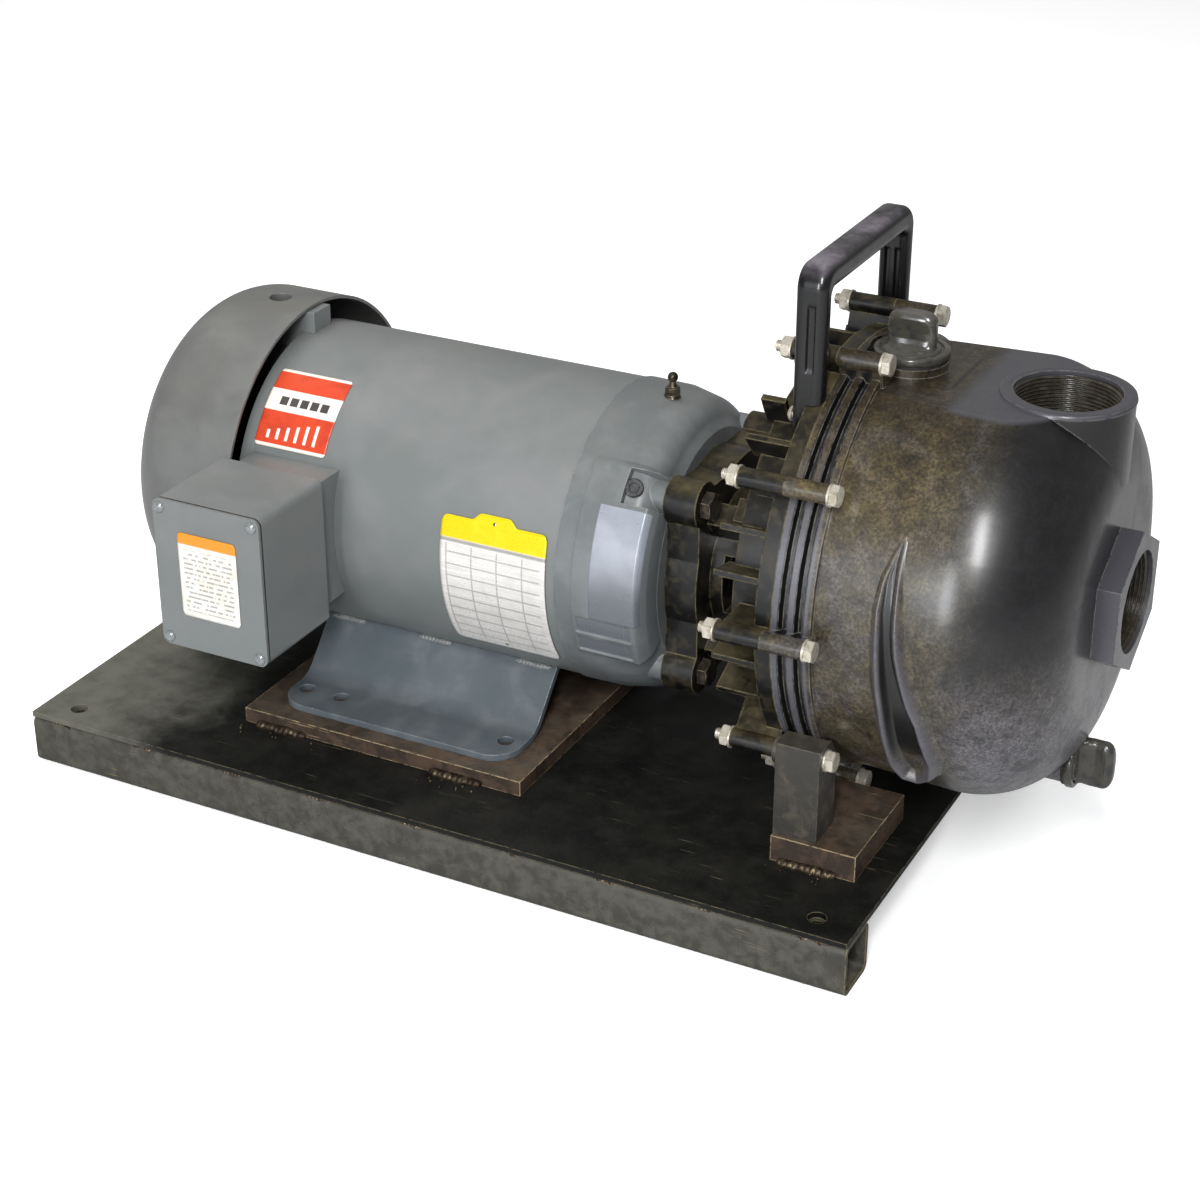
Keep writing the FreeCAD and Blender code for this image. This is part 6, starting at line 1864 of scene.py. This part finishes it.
    def skin(self, x: np.ndarray) -> np.ndarray:
        """Radius of the casing's skin: a slow swell from the ring to the round corner.

        Args:
            x: Distances along X.

        Returns:
            The radius at each.
        """
        flat = 121.0 + 2.5 * (x - 220.0) / 66.5
        t = np.clip(x - 286.5, 0, 59.9)
        return np.where(x < 286.5, flat, 63.5 + np.sqrt(60.0 ** 2 - t ** 2))

    def build(self) -> None:
        """Dress the pump and add its pieces."""
        dress("casing_plastic", "pump_casing")
        dress("leg_plastic", "pump_leg_front", "pump_leg_back")
        dress("rubber_seal", "casing_seal_ring", "fill_seal_ring", "drain_seal_ring", "valve_flapper")
        dress("zinc_steel", "tie_washers")
        dress("thread_plastic", "volute", "suction_chamber", "valve_seat", "impeller")
        dress("seal_carbon", "seal_seat", "seal_head")
        dress("stainless", "valve_pin", "impeller_nut")
        self.bolts.build()
        self.rim()
        self.threads(Place(self.discharge, (0, 0, 1), (1, 0, 0)), 24.5, "discharge_thread")
        self.threads(Place(self.suction), 24.5, "suction_thread")
        self.gills()
        WingPlug("fill_plug_cap", "fill_plug_body", "fill_plug",
                 Place((222.5, 0, 295.2), (0, 0, 1), (1, 0, 0)), 21.0, 4.6, 16.0, 12.0,
                 (28.0, 11.0, 21.0)).build()
        WingPlug("drain_plug_cap", "drain_plug_body", "drain_plug",
                 Place((331.0, 0, 73.0), (1, 0, 0), (0, 0, 1)), 17.0, 5.0, 9.0, 12.0,
                 (30.0, 10.0, 20.0)).build()


@dataclass
class Studio:
    """Pale floor, soft lights and the camera at the photograph's viewing angle."""

    camera_at: Point = (0.63817, -1.17448, 0.77805)
    looks: Point = (-0.4083, 0.7913, -0.4552)
    lens: float = 72.86
    floor_size: float = 40.0
    key: Point = (0.306, -0.723, 0.60)

    def light(self, name: str, at: Point, aim: Point, size: tuple[float, float], power: float,
              tone: Colour = (1.0, 1.0, 1.0), shine: bool = True) -> None:
        """Add a soft rectangular light.

        Args:
            name: Name of the light.
            at: Where it hangs, in metres.
            aim: Point that it faces.
            size: Width and height in metres.
            power: Power in watts.
            tone: Colour of the light.
            shine: Whether it shows in reflections.
        """
        data = bpy.data.lights.new(name, "AREA")
        data.shape, data.size, data.size_y = "RECTANGLE", size[0], size[1]
        data.energy, data.color = power, tone
        item = bpy.data.objects.new(name, data)
        bpy.context.scene.collection.objects.link(item)
        item.location = at
        item.rotation_mode = "QUATERNION"
        item.rotation_quaternion = (Vector(aim) - Vector(at)).to_track_quat("-Z", "Y")
        item.visible_glossy = shine

    def floor(self) -> None:
        """Lay a pale floor under the base, brighter to the camera than to the object."""
        half = self.floor_size / 2
        mesh = bpy.data.meshes.new("studio_floor")
        spots = np.array([(-half, -half, 0), (half, -half, 0), (half, half, 0), (-half, half, 0)])
        mesh.from_pydata(spots.tolist(), [], [(0, 1, 2, 3)])
        material = bpy.data.materials.new("studio_floor")
        material.use_nodes = True
        graph = Graph(material.node_tree)
        bright = graph.add("ShaderNodeBsdfPrincipled")
        bright.inputs["Base Color"].default_value = (0.86, 0.86, 0.86, 1)
        bright.inputs["Roughness"].default_value = 0.75
        bright.inputs["Emission Color"].default_value = (1.0, 1.0, 1.0, 1.0)
        bright.inputs["Emission Strength"].default_value = 0.42
        quiet = graph.add("ShaderNodeBsdfDiffuse")
        quiet.inputs["Color"].default_value = (0.5, 0.5, 0.5, 1)
        chooser = graph.add("ShaderNodeMixShader")
        graph.feed(chooser, 0, graph.add("ShaderNodeLightPath").outputs["Is Camera Ray"])
        graph.feed(chooser, 1, quiet.outputs[0])
        graph.feed(chooser, 2, bright.outputs[0])
        graph.feed(graph.add("ShaderNodeOutputMaterial"), 0, chooser.outputs[0])
        mesh.materials.append(material)
        item = bpy.data.objects.new("studio_floor", mesh)
        bpy.context.scene.collection.objects.link(item)

    def build(self) -> None:
        """Set floor, sky, lights and camera."""
        self.floor()
        world = bpy.data.worlds.new("studio_sky")
        world.use_nodes = True
        sky = world.node_tree.nodes["Background"]
        sky.inputs[0].default_value = (1.0, 1.0, 1.0, 1.0)
        sky.inputs[1].default_value = 0.26
        bpy.context.scene.world = world
        middle = (0.05, 0.0, 0.17)
        key = tuple(m + 2.2 * k for m, k in zip(middle, self.key))
        self.light("key_softbox", key, middle, (0.3, 0.9), 40.0)
        self.light("overhead_softbox", (-0.9, 0.35, 2.2), middle, (1.8, 1.4), 40.0, shine=False)
        self.light("front_softbox", (-0.1, -2.3, 0.62), middle, (0.5, 0.9), 28.0, (0.93, 0.96, 1.0))
        self.light("side_softbox", (1.9, -1.1, 0.35), middle, (1.0, 0.8), 8.0, (0.86, 0.92, 1.0), False)
        camera = bpy.data.objects.new("camera", bpy.data.cameras.new("camera"))
        bpy.context.scene.collection.objects.link(camera)
        camera.location = self.camera_at
        camera.rotation_mode = "QUATERNION"
        camera.rotation_quaternion = Vector(self.looks).to_track_quat("-Z", "Y")
        camera.data.lens = self.lens
        camera.data.sensor_width = 36.0
        camera.data.clip_start, camera.data.clip_end = 0.05, 100.0
        bpy.context.scene.camera = camera
        bpy.context.scene.view_settings.view_transform = "Standard"


def main() -> None:
    """Build the finishes, each sub-assembly and the studio, in order."""
    logging.basicConfig(level=logging.INFO, format="%(name)s %(message)s")
    for finish in FINISHES:
        finish.build()
    for part in (SteelBase(), Motor(), DriveBracket(), PumpHead()):
        part.build()
        LOG.info("%s built", type(part).__name__)
    Studio().build()


if __name__ == "__main__":
    main()
